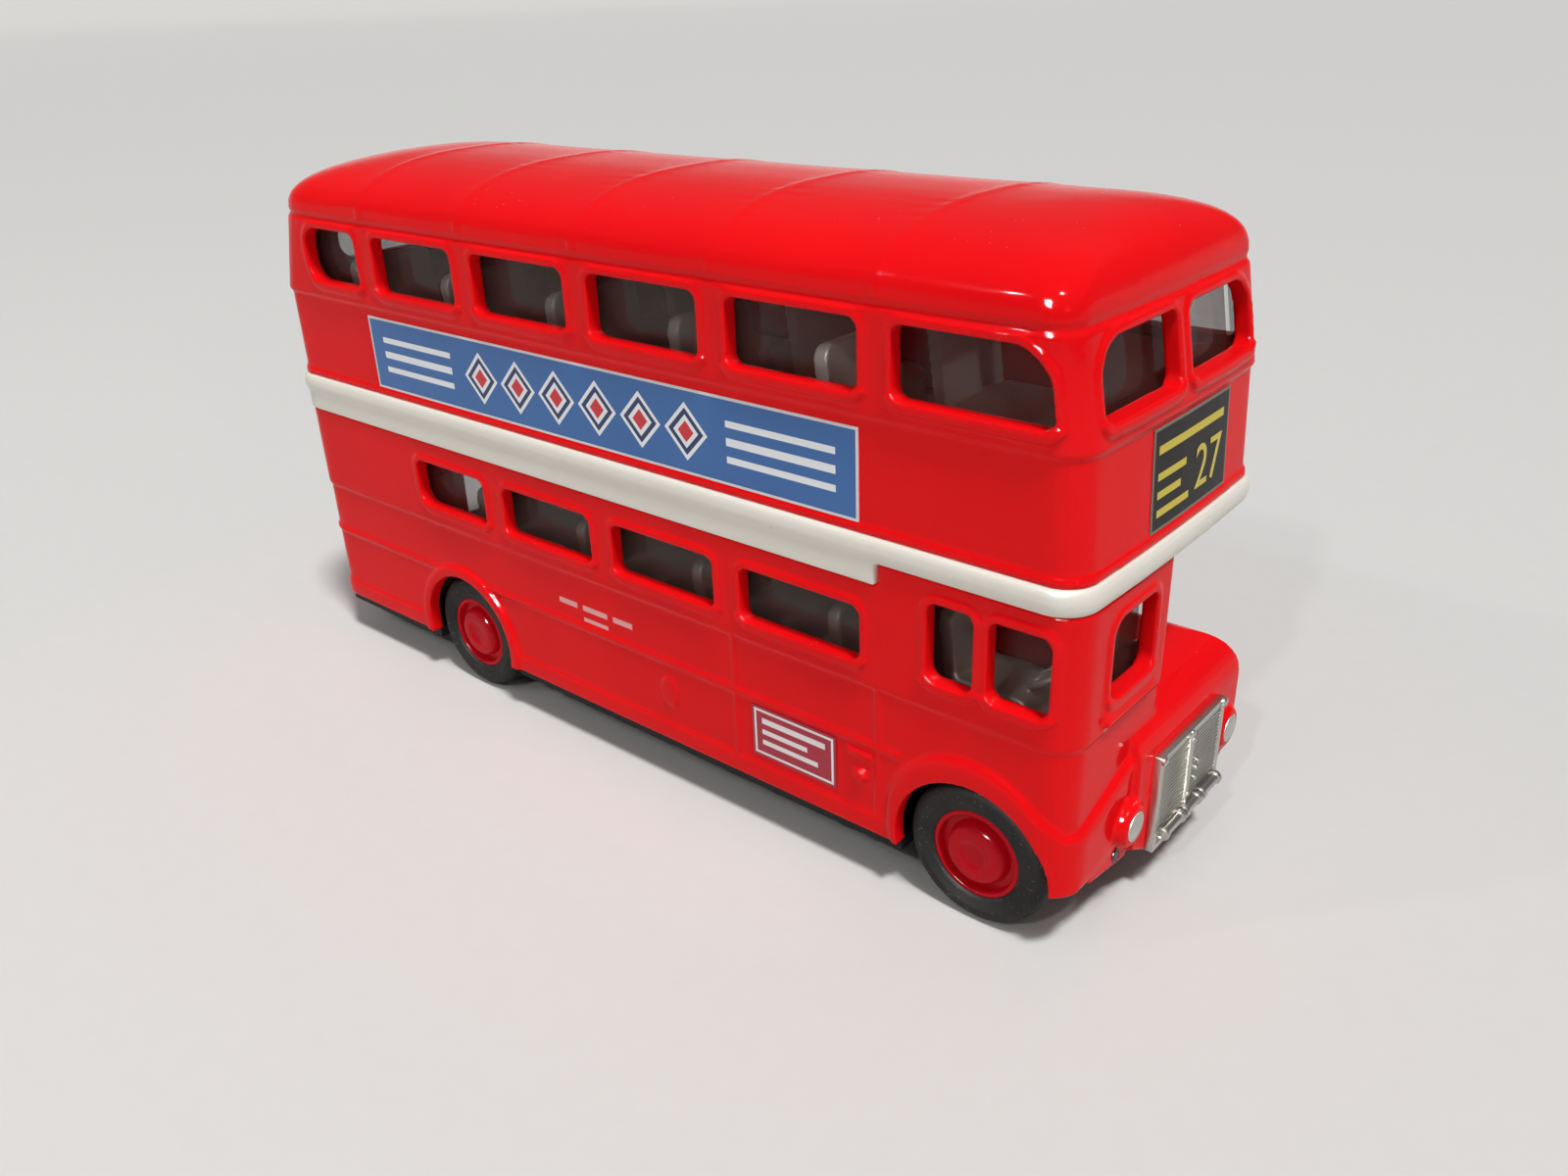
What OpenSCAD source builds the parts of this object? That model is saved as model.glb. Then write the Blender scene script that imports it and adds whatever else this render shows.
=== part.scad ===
// Toy double-deck bus with a half cab, die-cast in two bodies with a moulded deck between them.
// X runs forward, Y to the left, Z up. The origin is on the ground under the middle of the bus.

/* [Length] */
// Distance from one side window to the next
bay_pitch = 19.1; // [18:0.1:21]
// Width of the pillar between two side windows
pillar_w = 3.7; // [3:0.1:5]
// Length of the tail, behind the evenly spaced windows
tail_bay_l = 22.4; // [21:0.1:26]
// Length of the front bay of the upper deck
front_bay_l = 20.8; // [20:0.1:24]
// Reach of the bumper in front of the upper deck
nose_l = 3.3; // [3.1:0.1:4.5]

/* [Width] */
// Width over the side panels
body_w = 35.8; // [34.5:0.1:39]
// Thickness of the cast walls
wall = 1.2; // [1:0.1:1.5]
// Plan radius of the tail corners
tail_r = 4.4; // [3.5:0.1:6]
// Plan radius of the nose corners
nose_r = 3; // [2.6:0.1:4]
// Bow of the upper front between its corners
bow = 0.3; // [0.2:0.05:0.6]

/* [Heights] */
// Ground clearance under the side panels
sill_z = 5.9; // [5.5:0.1:6.5]
// Side panels from the sill up to the lower belt
lower_panel_h = 17.3; // [16.6:0.1:19]
// Lower window zone from belt to deck band
lower_glass_h = 11.1; // [10:0.1:13]
// Flat skirt of the deck band
skirt_h = 2.2; // [1.8:0.1:3]
// Round bead of the deck band
bead_h = 2.6; // [2:0.1:3.4]
// Upper side panels from the deck band to the upper belt
upper_panel_h = 11.4; // [10:0.1:14]
// Upper window zone from belt to gutter
upper_glass_h = 10.5; // [9.5:0.1:12]
// Roof from gutter to crown
roof_h = 6.2; // [5.5:0.1:8]

/* [Cab and bonnet] */
// Width of the cab from the right side panel
cab_w = 18.2; // [17:0.1:20]
// Length of the cab and the bonnet in front of the bulkhead
cab_l = 18.4; // [17.5:0.1:19.5]
// Width of the radiator grille
grille_w = 15; // [13:0.1:16]
// Height of the radiator grille
grille_h = 11.2; // [10:0.1:12]
// Distance of the grille from the left side panel
grille_side = 5.7; // [5.2:0.1:6.4]

/* [Wheels] */
// Diameter of the tyres
tyre_d = 15.5; // [14.8:0.1:16.2]
// Width of the tyres
tyre_w = 5.4; // [4.8:0.1:6]
// Diameter of the hubs inside the tyres
hub_d = 9.6; // [8.5:0.1:10.5]
// Diameter of the axles
axle_d = 2; // [1.6:0.1:2.4]
// Rear axle from the tail
rear_axle_l = 32; // [31:0.1:33.5]
// Front axle from the upper front
front_axle_l = 9.8; // [9.4:0.1:10.2]

/* [Hidden] */

// Overrun of cuts, clearance of seated pieces and running clearance of the axles
over = 1;
fit = 0.15;
run_fit = 0.06;
// Points on a quarter arc of an outline, and the least radius of one
arc_n = 8;
least_r = 0.3;

// Steps of the upper body's lip and of the deck band's bead out of the side panels
lip_out = 0.25;
band_out = 0.55;

// Places along the bus
bay_count = 4;
body_l = tail_bay_l + bay_count * bay_pitch + front_bay_l;
band_lap = lip_out + band_out;
bus_l = band_lap + body_l + nose_l;
x_tail = band_lap - bus_l / 2;
x_bay = x_tail + tail_bay_l;
x_front_bay = x_bay + bay_count * bay_pitch;
x_nose = x_front_bay + front_bay_l;
x_tip = bus_l / 2;
x_cab = x_nose - cab_l;
x_rear_axle = x_tail + rear_axle_l;
x_front_axle = x_nose - front_axle_l;
hw = body_w / 2;

// Places up the bus
z_lower_belt = sill_z + lower_panel_h;
z_skirt = z_lower_belt + lower_glass_h;
z_bead = z_skirt + skirt_h;
z_deck = z_bead + bead_h;
z_belt = z_deck + upper_panel_h;
z_gutter = z_belt + upper_glass_h;
z_axle = tyre_d / 2;

// Upper body: lip above the deck band, belt step, gutter groove, roof edge and leans of the front
lip_h = 0.7;
belt_out = 0.35;
gutter_h = 0.7;
eave_out = 0.3;
panel_lean_share = 0.05;
glass_lean_share = 0.18;
tail_lean_share = 0.12;
// Plan radius that the tail corners reach at the gutter
tail_crown_r = 7.5;
// Dome of the roof: reach of its rounded ends and squareness of its section
nose_dome_l = 12;
tail_dome_l = 19;
dome_r = 4;
dome_share = 0.84;
dome_steps = 11;
dome_sweep = 85;
corner_share = 0.9;
// Straps over the roof at each pillar
strap_w = 1.1;
strap_out = 0.14;

// Upper windows
upper_sill = 2;
upper_head = 1.9;
pane_r = 1.1;
frame_w = 0.75;
frame_out = 0.25;
ledge_h = 1;
ledge_out = 0.45;
tail_pane_l = 11.2;
front_pane_l = 15.8;
front_pane_r = 3.4;
tail_pane_r = 2.6;
front_pane_lean_share = 0.19;
front_post = 1.1;
front_corner = 3.4;
rear_pane_w = 18;

// Lower body: rails, windows, doorway at the tail and cab
rail_h = 2.2;
rail_out = 0.25;
mid_rail_z = 10.2;
mid_rail_h = 0.5;
lower_sill = 2.4;
lower_head = 2.8;
lower_tail_pane_l = 13.6;
lower_tail_pane_r = 2.2;
cab_sill = 3.1;
cab_head = 2.1;
cab_pane_r = 1.2;
door_pane_shares = [0.185, 0.457];
quarter_pane_shares = [0.538, 0.875];
screen_w = 8.4;
screen_x = 6;
screen_head = 2.2;
scuttle_out = 0.85;
scuttle_h = 1.9;
scuttle_foot = 0.8;
scuttle_end = 0.6;
groove_w = 0.3;
groove_depth = 0.2;
door_edge = 1.3;
door_l = 10.1;
platform_l = 16.5;
platform_w = 12.5;
platform_head = 2.2;
platform_kerb = 2;
bulkhead_pane_w = 11;
filler_w = 2.4;
filler_h = 3.6;
filler_x = 47.2;
filler_z = 6.6;

// Bonnet, wings and lamps
bonnet_h = 15.6;
bonnet_r = 4.6;
brow_l = 6;
bonnet_side = 2.9;
bonnet_near_r = 1.6;
bonnet_front = 1.3;
chin_z = 5;
arch_gap = 0.75;
guard_r = 10.5;
guard_rise = 1.4;
guard_out = 0.6;
guard_in = 8.6;
guard_edge = 1.7;
guard_foot = 1.4;
guard_crown = [7.4, 11.9];
guard_nose_r = 1.5;
guard_nose_steps = 4;
guard_plan_r = 4;
flare_r = 1.5;
flare_out = 0.4;
lamp_clear = 0.9;
lamp_edge = 0.7;
lamp_reach = 1.9;
lamp_gap = 1.6;
lamp_rise = 4.6;
post_d = 5;
post_bore_d = 2.4;
web_t = 1.6;
web_h = 6;

// Deck moulding: band, floor, upstand and benches
bead_steps = 6;
skirt_out = 0.25;
skirt_t = 1.5;
floor_t = 1.2;
upstand_h = 2.2;
upstand_t = 1;
bench_rise = 2.6;
bench_back_t = 1.6;
bench_back_r = 1.6;
bench_l = 7.5;
bench_h = 7;
bench_lean = 8;
bench_share = 0.7;
aisle_w = 6.2;
bench_gap = 0.6;
bench_side = 0.3;

// Clear mouldings
glass_t = 0.8;
glass_lap = 0.9;
flange_w = 1.6;

// Lower interior: floor, platform, stair, pole, partition and driver's place
tray_gap = 0.7;
tray_t = 1;
stair_n = 5;
stair_w = 9;
pole_d = 1.4;
pole_inset = 2.6;
lower_bench_h = 4.2;
driver_w = 7;
driver_x = 3.4;
driver_y = 3;
driver_h = 9;
driver_seat_h = 2.2;
cab_floor_t = 1.2;
steer_d = 5;
steer_t = 0.8;
steer_lean = 35;
steer_x = 3.8;
steer_l = 5;

// Grille and bumper
grille_t = 0.9;
grille_frame = 0.8;
grille_bar = 0.7;
grille_bar_out = 0.35;
rib_count = 15;
rib_share = 0.5;
rib_out = 0.25;
bumper_d = 1.3;
bumper_w = 13;
bumper_z = 1.9;
bumper_arm_w = 1.5;
bumper_bead = 0.25;
bumper_bead_w = 0.6;
bumper_bead_shares = [-1, -0.34, 0.34, 1];
stud_d = 0.9;
peg_d = 2;
peg_l = 2.4;
peg_share = 0.33;

// Base, rivets and wheels
base_t = 1.4;
base_inset = 0.7;
base_r = 2;
wheel_room = 1;
bearing_w = 3.2;
bearing_wall = 1.1;
bearing_gap = 0.6;
rivet_d = 2.2;
rivet_l = 4;
rivet_head_d = 4.4;
rivet_head_h = 0.7;
wheel_inset = 0.7;
hub_wall = 0.5;
hub_dish = 0.9;
hub_web = 0.9;
hub_dome_d = 6.6;
hub_eye_d = 3;
hub_eye_depth = 0.25;
tyre_edge = 1.2;
tyre_bead = 0.5;

// Labels
label_t = 0.1;
label_gap = 0.02;
side_label_h = 9.1;
side_label_rise = 0.3;
side_label_ends = 2;
front_label_w = 15.9;
front_label_h = 9.6;
front_label_y = 2.1;
front_label_rise = 0.4;
notice_w = 11.4;
notice_h = 6.2;
notice_x = 5.2;
notice_z = 3.4;

// Levels that follow from the sizes above
z_upper_pane = z_belt + upper_sill;
z_upper_head = z_gutter - upper_head;
z_lower_pane = z_lower_belt + lower_sill;
z_lower_head = z_skirt - lower_head;
z_cab_pane = z_lower_belt + cab_sill;
z_cab_head = z_bead - cab_head;
z_tray = tyre_d + tray_gap;
z_platform = sill_z + platform_kerb;
z_wing = z_axle + guard_rise + guard_r;
z_floor = z_bead + floor_t;
y_cab = -hw + cab_w;
x_bonnet = x_nose + bonnet_front;
x_wing = x_front_axle + guard_r;
grille_y = hw - grille_side - grille_w / 2;
y_bonnet = grille_y - grille_w / 2 - bonnet_side;
lamp_d = grille_side - lamp_clear;
peg_y = grille_w * peg_share;
arch_r = tyre_d / 2 + arch_gap;
wheel_y = hw - wheel_inset;
wheel_in_y = wheel_y - tyre_w;
post_shares = [1.36, 3.2];
post_x = [for (s = post_shares) x_bay + bay_pitch * s];

body_red = "#d01010";
band_cream = "#e6dfcc";
seat_grey = "#b9b0a0";
clear = [0.75, 0.82, 0.82, 0.35];
chrome = "#c9ccd0";
rubber = "#1c1c1c";

// Points on an arc about c from angle a to angle b
function arc_pts(c, r, a, b) =
    [for (i = [0:arc_n]) let (t = a + (b - a) * i / arc_n) c + r * [cos(t), sin(t)]];

// Plan of a body from x0 to x1, w either side of the middle, with a bowed nose
function plan_pts(x0, x1, w, r0, r1) =
    let (e = w - r1, xb = x1 - bow)
    concat(
        arc_pts([xb - r1, -e], r1, -90, 0),
        [for (s = [-0.5:0.5:0.5]) [x1 - bow * s * s, e * s]],
        arc_pts([xb - r1, e], r1, 0, 90),
        arc_pts([x0 + r0, w - r0], r0, 90, 180),
        arc_pts([x0 + r0, r0 - w], r0, 180, 270));

// Rounded rectangle from corner p to corner q, radii anticlockwise from the corner of least values
function box_pts(p, q, r) = concat(
    arc_pts([p.x + r[0], p.y + r[0]], r[0], 180, 270),
    arc_pts([q.x - r[1], p.y + r[1]], r[1], 270, 360),
    arc_pts([q.x - r[2], q.y - r[2]], r[2], 0, 90),
    arc_pts([p.x + r[3], q.y - r[3]], r[3], 90, 180));

function even(r) = [r, r, r, r];
function grow(r, d) = [for (v = r) v + d];
function level(pts, z) = [for (p = pts) [p.x, p.y, z]];
function upright(pts, x) = [for (p = pts) [x, p.x, p.y]];
function round_r(r) = max(r, least_r);

// Points leaned towards smaller x as y rises from y0, more so near the far end of the run
function lean_pts(pts, x0, x1, y0, share) =
    [for (p = pts) [p.x - share * (p.y - y0) * (p.x - x0) / (x1 - x0), p.y]];

// Solid through a stack of rings that have the same number of points
module loft(rings) {
    n = len(rings[0]);
    m = len(rings) - 1;
    polyhedron(
        points = [for (r = rings) each r],
        faces = concat(
            [[for (i = [0:n - 1]) i]],
            [for (k = [0:m - 1], i = [0:n - 1]) [k * n + i, (k + 1) * n + i, (k + 1) * n + (i + 1) % n]],
            [for (k = [0:m - 1], i = [0:n - 1]) [k * n + i, (k + 1) * n + (i + 1) % n, k * n + (i + 1) % n]],
            [[for (i = [n - 1:-1:0]) m * n + i]]));
}

// Outline in X and Z carried along Y, and outline in Y and Z carried along X
module across(pts, y0, y1) translate([0, y1, 0]) rotate([90, 0, 0]) linear_extrude(y1 - y0) polygon(pts);
module along(pts, x0, x1) translate([x0, 0, 0]) rotate([90, 0, 90]) linear_extrude(x1 - x0) polygon(pts);
module block(p, q) translate(p) cube(q - p);
module rod_y(x, z, d, y0, y1) translate([x, y1, z]) rotate([90, 0, 0]) cylinder(d = d, h = y1 - y0, $fn = 64);
module both_sides() for (s = [0, 1]) mirror([0, s, 0]) children();

// Upper body
function front_lean(z) = z < z_belt ? (z - z_deck) * panel_lean_share
    : (z_belt - z_deck) * panel_lean_share + (z - z_belt) * glass_lean_share;

function tail_lean(z) = max(z - z_belt, 0) * tail_lean_share;
function tail_round(z) = tail_r + (tail_crown_r - tail_r) * max(z - z_belt, 0) / upper_glass_h;

function upper_ring(z, out) =
    level(plan_pts(x_tail + tail_lean(z) - out, x_nose - front_lean(z) + out, hw + out,
                   round_r(tail_round(z) + out), round_r(nose_r + out)), z);

function dome_ring(k, out, top) =
    let (a = dome_sweep * k / dome_steps, c = pow(cos(a), dome_share), s = pow(sin(a), dome_share),
         w = (hw + out) * c, x1 = x_nose - front_lean(z_gutter) + out)
    level(plan_pts(x_tail + tail_lean(z_gutter) - out + tail_dome_l * (1 - c), x1 - nose_dome_l * (1 - c), w,
                   min(tail_crown_r + out + dome_r * (1 - c), w * corner_share),
                   min(nose_r + out + dome_r * (1 - c), w * corner_share)),
          z_gutter + top * s);

function dome_rings(out, top) = [for (k = [0:dome_steps]) dome_ring(k, out, top)];

upper_profile = [
    [z_deck, lip_out], [z_deck + lip_h, lip_out], [z_deck + lip_h + lip_out, 0],
    [z_belt - belt_out, 0], [z_belt, belt_out],
    [z_gutter - gutter_h - belt_out, belt_out], [z_gutter - gutter_h, 0]];

// One upper side window: 0 is at the tail, then the even bays, and the last is the front one
function upper_pane(i, d) =
    i == 0 ? box_pts([x_bay - pillar_w / 2 - tail_pane_l - d, z_upper_pane - d],
                     [x_bay - pillar_w / 2 + d, z_upper_head + d],
                     grow([tail_pane_r, pane_r, pane_r, tail_pane_r], d))
    : i <= bay_count ? box_pts([x_bay + (i - 1) * bay_pitch + pillar_w / 2 - d, z_upper_pane - d],
                               [x_bay + i * bay_pitch - pillar_w / 2 + d, z_upper_head + d], even(pane_r + d))
    : lean_pts(box_pts([x_front_bay + pillar_w / 2 - d, z_upper_pane - d],
                       [x_front_bay + pillar_w / 2 + front_pane_l + d, z_upper_head + d],
                       grow([pane_r, pane_r, front_pane_r, pane_r], d)),
               x_front_bay, x_nose, z_upper_pane, front_pane_lean_share);

function front_pane(d) =
    box_pts([front_post - d, z_upper_pane - d], [hw - front_corner + d, z_upper_head + d],
            grow([pane_r, pane_r, front_pane_r, pane_r], d));

module upper_openings(d) {
    for (i = [0:bay_count + 1]) across(upper_pane(i, d), -body_w, body_w);
    both_sides() along(front_pane(d), x_nose - nose_dome_l, x_tip);
    along(box_pts([-rear_pane_w / 2 - d, z_upper_pane - d], [rear_pane_w / 2 + d, z_upper_head + d],
                  even(tail_pane_r + d)),
          x_tail - over, x_tail + tail_pane_l / 2);
}

module upper_body() color(body_red) difference() {
    union() {
        loft(concat([for (p = upper_profile) upper_ring(p[0], p[1])], dome_rings(eave_out, roof_h)));
        intersection() {
            loft([upper_ring(z_belt + belt_out, belt_out + frame_out),
                  upper_ring(z_gutter - gutter_h - belt_out, belt_out + frame_out)]);
            upper_openings(frame_w);
        }
        intersection() {
            loft([upper_ring(z_upper_pane - ledge_h, belt_out + ledge_out),
                  upper_ring(z_upper_pane + least_r, belt_out + ledge_out)]);
            upper_openings(ledge_h);
        }
        intersection() {
            loft(dome_rings(eave_out + strap_out, roof_h + strap_out));
            for (i = [0:bay_count])
                translate([x_bay + i * bay_pitch - strap_w / 2, -body_w, z_gutter])
                    cube([strap_w, 2 * body_w, 2 * roof_h]);
        }
    }
    loft(concat([upper_ring(z_deck - over, -wall), upper_ring(z_belt, -wall)],
                dome_rings(-wall, roof_h - wall)));
    upper_openings(0);
}

// Lower body
function saloon_pts(out) = box_pts([x_tail - out, -hw - out], [x_cab + wall, hw + out],
                                   [tail_r + out, wall, wall, tail_r + out]);
function cab_pts(out) = box_pts([x_front_bay, -hw - out], [x_nose + out, y_cab],
                                [wall / 2, nose_r + out, wall, wall / 2]);

lower_profile = [
    [sill_z, rail_out], [sill_z + rail_h, rail_out], [sill_z + rail_h + rail_out, 0],
    [sill_z + mid_rail_z - rail_out, 0], [sill_z + mid_rail_z, rail_out],
    [sill_z + mid_rail_z + mid_rail_h, rail_out], [sill_z + mid_rail_z + mid_rail_h + rail_out, 0],
    [z_lower_belt - rail_out, 0], [z_lower_belt, rail_out], [z_skirt, rail_out]];

cab_profile = [
    [sill_z, 0], [z_lower_belt - rail_out, 0], [z_lower_belt, rail_out], [z_bead, rail_out]];

// Lower side window: 0 is the short one over the rear wheel
function lower_pane(i, d) =
    i == 0 ? box_pts([x_bay + bay_pitch - pillar_w / 2 - lower_tail_pane_l - d, z_lower_pane - d],
                     [x_bay + bay_pitch - pillar_w / 2 + d, z_lower_head + d],
                     grow([lower_tail_pane_r, pane_r, pane_r, pane_r], d))
    : box_pts([x_bay + i * bay_pitch + pillar_w / 2 - d, z_lower_pane - d],
              [x_bay + (i + 1) * bay_pitch - pillar_w / 2 + d, z_lower_head + d], even(pane_r + d));

door_pane_x = [for (s = door_pane_shares) x_cab + cab_l * s];
quarter_pane_x = [for (s = quarter_pane_shares) x_cab + cab_l * s];
panel_groove_x = [x_front_bay - bay_pitch, x_front_bay];
door_groove_x = [x_front_bay + door_edge, x_front_bay + door_edge + door_l];

module cab_side_openings(d) {
    across(box_pts([door_pane_x[0] - d, z_cab_pane - d], [door_pane_x[1] + d, z_cab_head + d],
                   even(cab_pane_r + d)),
           -body_w, y_cab - wall - fit - glass_t);
    across(box_pts([quarter_pane_x[0] - d, z_cab_pane - d], [quarter_pane_x[1] + d, z_cab_head + d],
                   even(cab_pane_r + d)),
           -body_w, y_cab + over);
}

module screen_opening(d) along(
    box_pts([-hw + screen_x - d, z_cab_pane - d], [-hw + screen_x + screen_w + d, z_bead - screen_head + d],
            grow([cab_pane_r, cab_pane_r, cab_pane_r, nose_r - wall], d)),
    x_nose - nose_r, x_tip);

module lower_openings(d) {
    for (i = [0:bay_count - 1]) across(lower_pane(i, d), -body_w, body_w);
    cab_side_openings(d);
    screen_opening(d);
}

// Bonnet from the cab to the grille, as a side outline crossed with a front outline
function bonnet_side_pts(t) =
    let (top = sill_z + bonnet_h - t, front = x_bonnet - t, brow_h = sill_z + bonnet_h - chin_z - grille_h)
    concat([[x_cab, chin_z], [front, chin_z]],
           [for (i = [0:arc_n]) let (a = 90 * i / arc_n)
               [front - brow_l * (1 - cos(a)), top - brow_h * (1 - sin(a))]],
           [[x_cab, top]]);

module bonnet_form(t, drop) intersection() {
    across(bonnet_side_pts(t), -hw, hw);
    along(box_pts([y_bonnet + t, chin_z - drop], [hw - t, sill_z + bonnet_h - t],
                  [t + wall, t + wall, bonnet_r, bonnet_near_r]),
          x_cab, x_tip);
}

module wheel_room_cut(x) both_sides() rod_y(x, z_axle, 2 * arch_r, wheel_in_y - wheel_room, body_w);

// Round-edged disc that makes a front wing once the wheel's room is cut from it
module wing_disc() translate([x_front_axle, hw + guard_out, z_axle + guard_rise]) rotate([90, 0, 0])
    rotate_extrude($fn = 96) polygon(concat(
        [[0, 0]],
        [for (i = [0:arc_n]) let (a = 90 * i / arc_n)
            [guard_r - guard_edge * (1 - sin(a)), guard_edge * (1 - cos(a))]],
        [[guard_r, guard_in], [0, guard_in]]));

// Front of a wing between the lamp and the side, with round edges
function wing_front_pts(d) =
    let (out = hw + guard_out - d, in = -y_bonnet, foot = sill_z + guard_foot + d)
    [[-out, foot], [-in, foot], [-in, sill_z + guard_crown[1] - d], [-out, sill_z + guard_crown[0] - d]];

module wing_front() loft(concat(
    [upright(wing_front_pts(0), x_nose - wall)],
    [for (k = [0:guard_nose_steps]) let (a = 90 * k / guard_nose_steps)
        upright(wing_front_pts(guard_nose_r * (1 - cos(a))), x_wing - guard_nose_r * (1 - sin(a)))]));

// Both front wings, round at the corners of the plan
module wings() intersection() {
    union() {
        both_sides() wing_disc();
        wing_front();
    }
    linear_extrude(2 * z_wing) polygon(
        box_pts([x_front_axle - 2 * guard_r, -hw - guard_out], [x_wing, hw + guard_out],
                [least_r, guard_plan_r, guard_plan_r, least_r]));
}

// Sloping scuttle under the windscreen
module scuttle() across(
    [[x_nose - wall / 2, z_cab_pane - frame_w / 2], [x_nose + rail_out, z_cab_pane - frame_w / 2],
     [x_nose + scuttle_out, z_cab_pane - scuttle_h],
     [x_nose + scuttle_out, z_cab_pane - scuttle_h - frame_w / 2],
     [x_nose, z_cab_pane - scuttle_h - scuttle_foot],
     [x_nose - wall / 2, z_cab_pane - scuttle_h - scuttle_foot]],
    -hw + screen_x - scuttle_end, -hw + screen_x + screen_w + scuttle_end);

// Cut that lifts the foot of the front above the ground on either side of the grille
module foot_cut(y_grille, y_foot, y_side) along(
    [[y_side, -body_w], [y_side, sill_z + guard_foot], [y_foot, sill_z + guard_foot],
     [y_grille, chin_z], [y_grille, -body_w]],
    x_front_axle, x_tip + over);

module rear_flare() translate([x_rear_axle, hw + rail_out + flare_out, z_axle]) rotate([90, 0, 0])
    rotate_extrude($fn = 96) polygon(concat(
        [[0, 0]],
        [for (i = [0:arc_n]) let (a = 90 * i / arc_n)
            [arch_r + flare_r - flare_out * (1 - sin(a)), flare_out * (1 - cos(a))]],
        [[arch_r + flare_r, wall], [0, wall]]));

module lamp_pod(y) translate([x_nose - wall, y, sill_z + lamp_rise]) rotate([0, 90, 0])
    rotate_extrude($fn = 48) polygon(concat(
        [[0, 0], [lamp_d / 2, 0]],
        arc_pts([lamp_d / 2 - lamp_edge, wall + lamp_reach - lamp_edge], lamp_edge, 0, 90),
        [[0, wall + lamp_reach]]));

lamp_y = [grille_y - grille_w / 2 - lamp_gap - lamp_d / 2, hw - lamp_d / 2];

module groove(x, z0)
    block([x - groove_w / 2, -hw - over, z0], [x + groove_w / 2, -hw + groove_depth, z_lower_belt]);

module lower_body() color(body_red) difference() {
    union() {
        difference() {
            union() {
                loft([for (p = lower_profile) level(saloon_pts(p[1]), p[0])]);
                loft([for (p = cab_profile) level(cab_pts(p[1]), p[0])]);
                intersection() {
                    union() {
                        loft([level(saloon_pts(rail_out + frame_out), z_lower_belt + rail_out),
                              level(saloon_pts(rail_out + frame_out), z_skirt - rail_out)]);
                        loft([level(cab_pts(rail_out + frame_out), z_lower_belt + rail_out),
                              level(cab_pts(rail_out + frame_out), z_bead - rail_out)]);
                    }
                    lower_openings(frame_w);
                }
                intersection() {
                    union() {
                        loft([level(saloon_pts(rail_out + ledge_out), z_lower_pane - ledge_h),
                              level(saloon_pts(rail_out + ledge_out), z_lower_pane + least_r)]);
                        loft([level(cab_pts(rail_out + ledge_out), z_cab_pane - ledge_h),
                              level(cab_pts(rail_out + ledge_out), z_cab_pane + least_r)]);
                    }
                    lower_openings(ledge_h);
                }
                bonnet_form(0, 0);
                wings();
                scuttle();
                both_sides() rear_flare();
                for (y = lamp_y) lamp_pod(y);
                across([for (a = [0:15:345])
                    [x_bay + filler_x + filler_w / 2 * cos(a), sill_z + filler_z + filler_h / 2 * sin(a)]],
                    -hw - rail_out, -hw + wall / 2);
            }
            translate([0, 0, -over]) linear_extrude(z_deck) polygon(
                box_pts([x_tail + wall, -hw + wall], [x_cab - wall, hw - wall],
                        [tail_r - wall, least_r, least_r, tail_r - wall]));
            translate([0, 0, -over]) linear_extrude(z_deck) polygon(box_pts([x_cab - 2 * wall, -hw + wall],
                [x_nose - wall, y_cab - wall], [least_r, round_r(nose_r - wall), least_r, least_r]));
            bonnet_form(wall, over);
            block([x_cab, y_bonnet + wall, -over], [x_bonnet - wall, hw - wall, chin_z + over]);
            block([x_cab, -hw + wall, -over], [x_nose - wall, hw - wall, z_axle + axle_d]);
        }
        for (x = post_x) {
            block([x - web_t / 2, -hw + wall / 2, z_tray - web_h], [x + web_t / 2, hw - wall / 2, z_tray]);
            translate([x, 0, sill_z]) cylinder(d = post_d, h = z_tray - sill_z, $fn = 48);
        }
    }
    lower_openings(0);
    wheel_room_cut(x_front_axle);
    wheel_room_cut(x_rear_axle);
    block([x_tail - over, -body_w, -body_w], [x_front_axle, body_w, sill_z]);
    block([x_front_axle - over, -body_w, -body_w], [x_tip + over, body_w, chin_z]);
    foot_cut(grille_y - grille_w / 2, lamp_y[0], -body_w);
    foot_cut(grille_y + grille_w / 2, lamp_y[1], body_w);
    for (x = panel_groove_x) groove(x, sill_z + rail_h);
    for (x = door_groove_x) groove(x, z_wing);
    along(box_pts([y_cab + wall, z_cab_pane], [y_cab + wall + bulkhead_pane_w, z_lower_head],
                  even(cab_pane_r)),
          x_cab - 2 * wall, x_cab + 2 * wall);
    block([x_tail - over, hw - platform_w, z_platform],
          [x_tail + platform_l, body_w, z_skirt - platform_head]);
    for (x = post_x) translate([x, 0, 0]) cylinder(d = post_bore_d, h = sill_z + rivet_l, $fn = 32);
    for (y = [-peg_y, peg_y])
        translate([x_bonnet - peg_l - over, grille_y + y, chin_z + grille_h / 2]) rotate([0, 90, 0])
            cylinder(d = peg_d + 2 * run_fit, h = peg_l + 2 * over, $fn = 32);
}

// Bench with a leaning back whose top corners are round, facing forward from x to x_end at most
module bench(x, x_end, y0, y1, z0, seat_h, top) {
    r = min(bench_back_r, seat_h / 2);
    translate([x, 0, z0]) rotate([0, -bench_lean, 0]) translate([-x, 0, -z0])
        along(box_pts([y0 + bench_side, z0 - floor_t / 2], [y1 - bench_side, top],
                      [bench_side, bench_side, bench_back_r, bench_back_r]),
              x - bench_back_t, x);
    across(box_pts([x - bench_back_t / 2, z0 - floor_t / 2], [min(x + bench_l, x_end), z0 + seat_h],
                   [bench_side, r, r, bench_side]),
           y0, y1);
}

bench_y0 = aisle_w / 2;
bench_y1 = hw - wall - fit - glass_t - bench_gap;

module benches(xs, x_end, z0, seat_h, top)
    for (x = xs) both_sides() bench(x, x_end, bench_y0, bench_y1, z0, seat_h, top);

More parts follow.
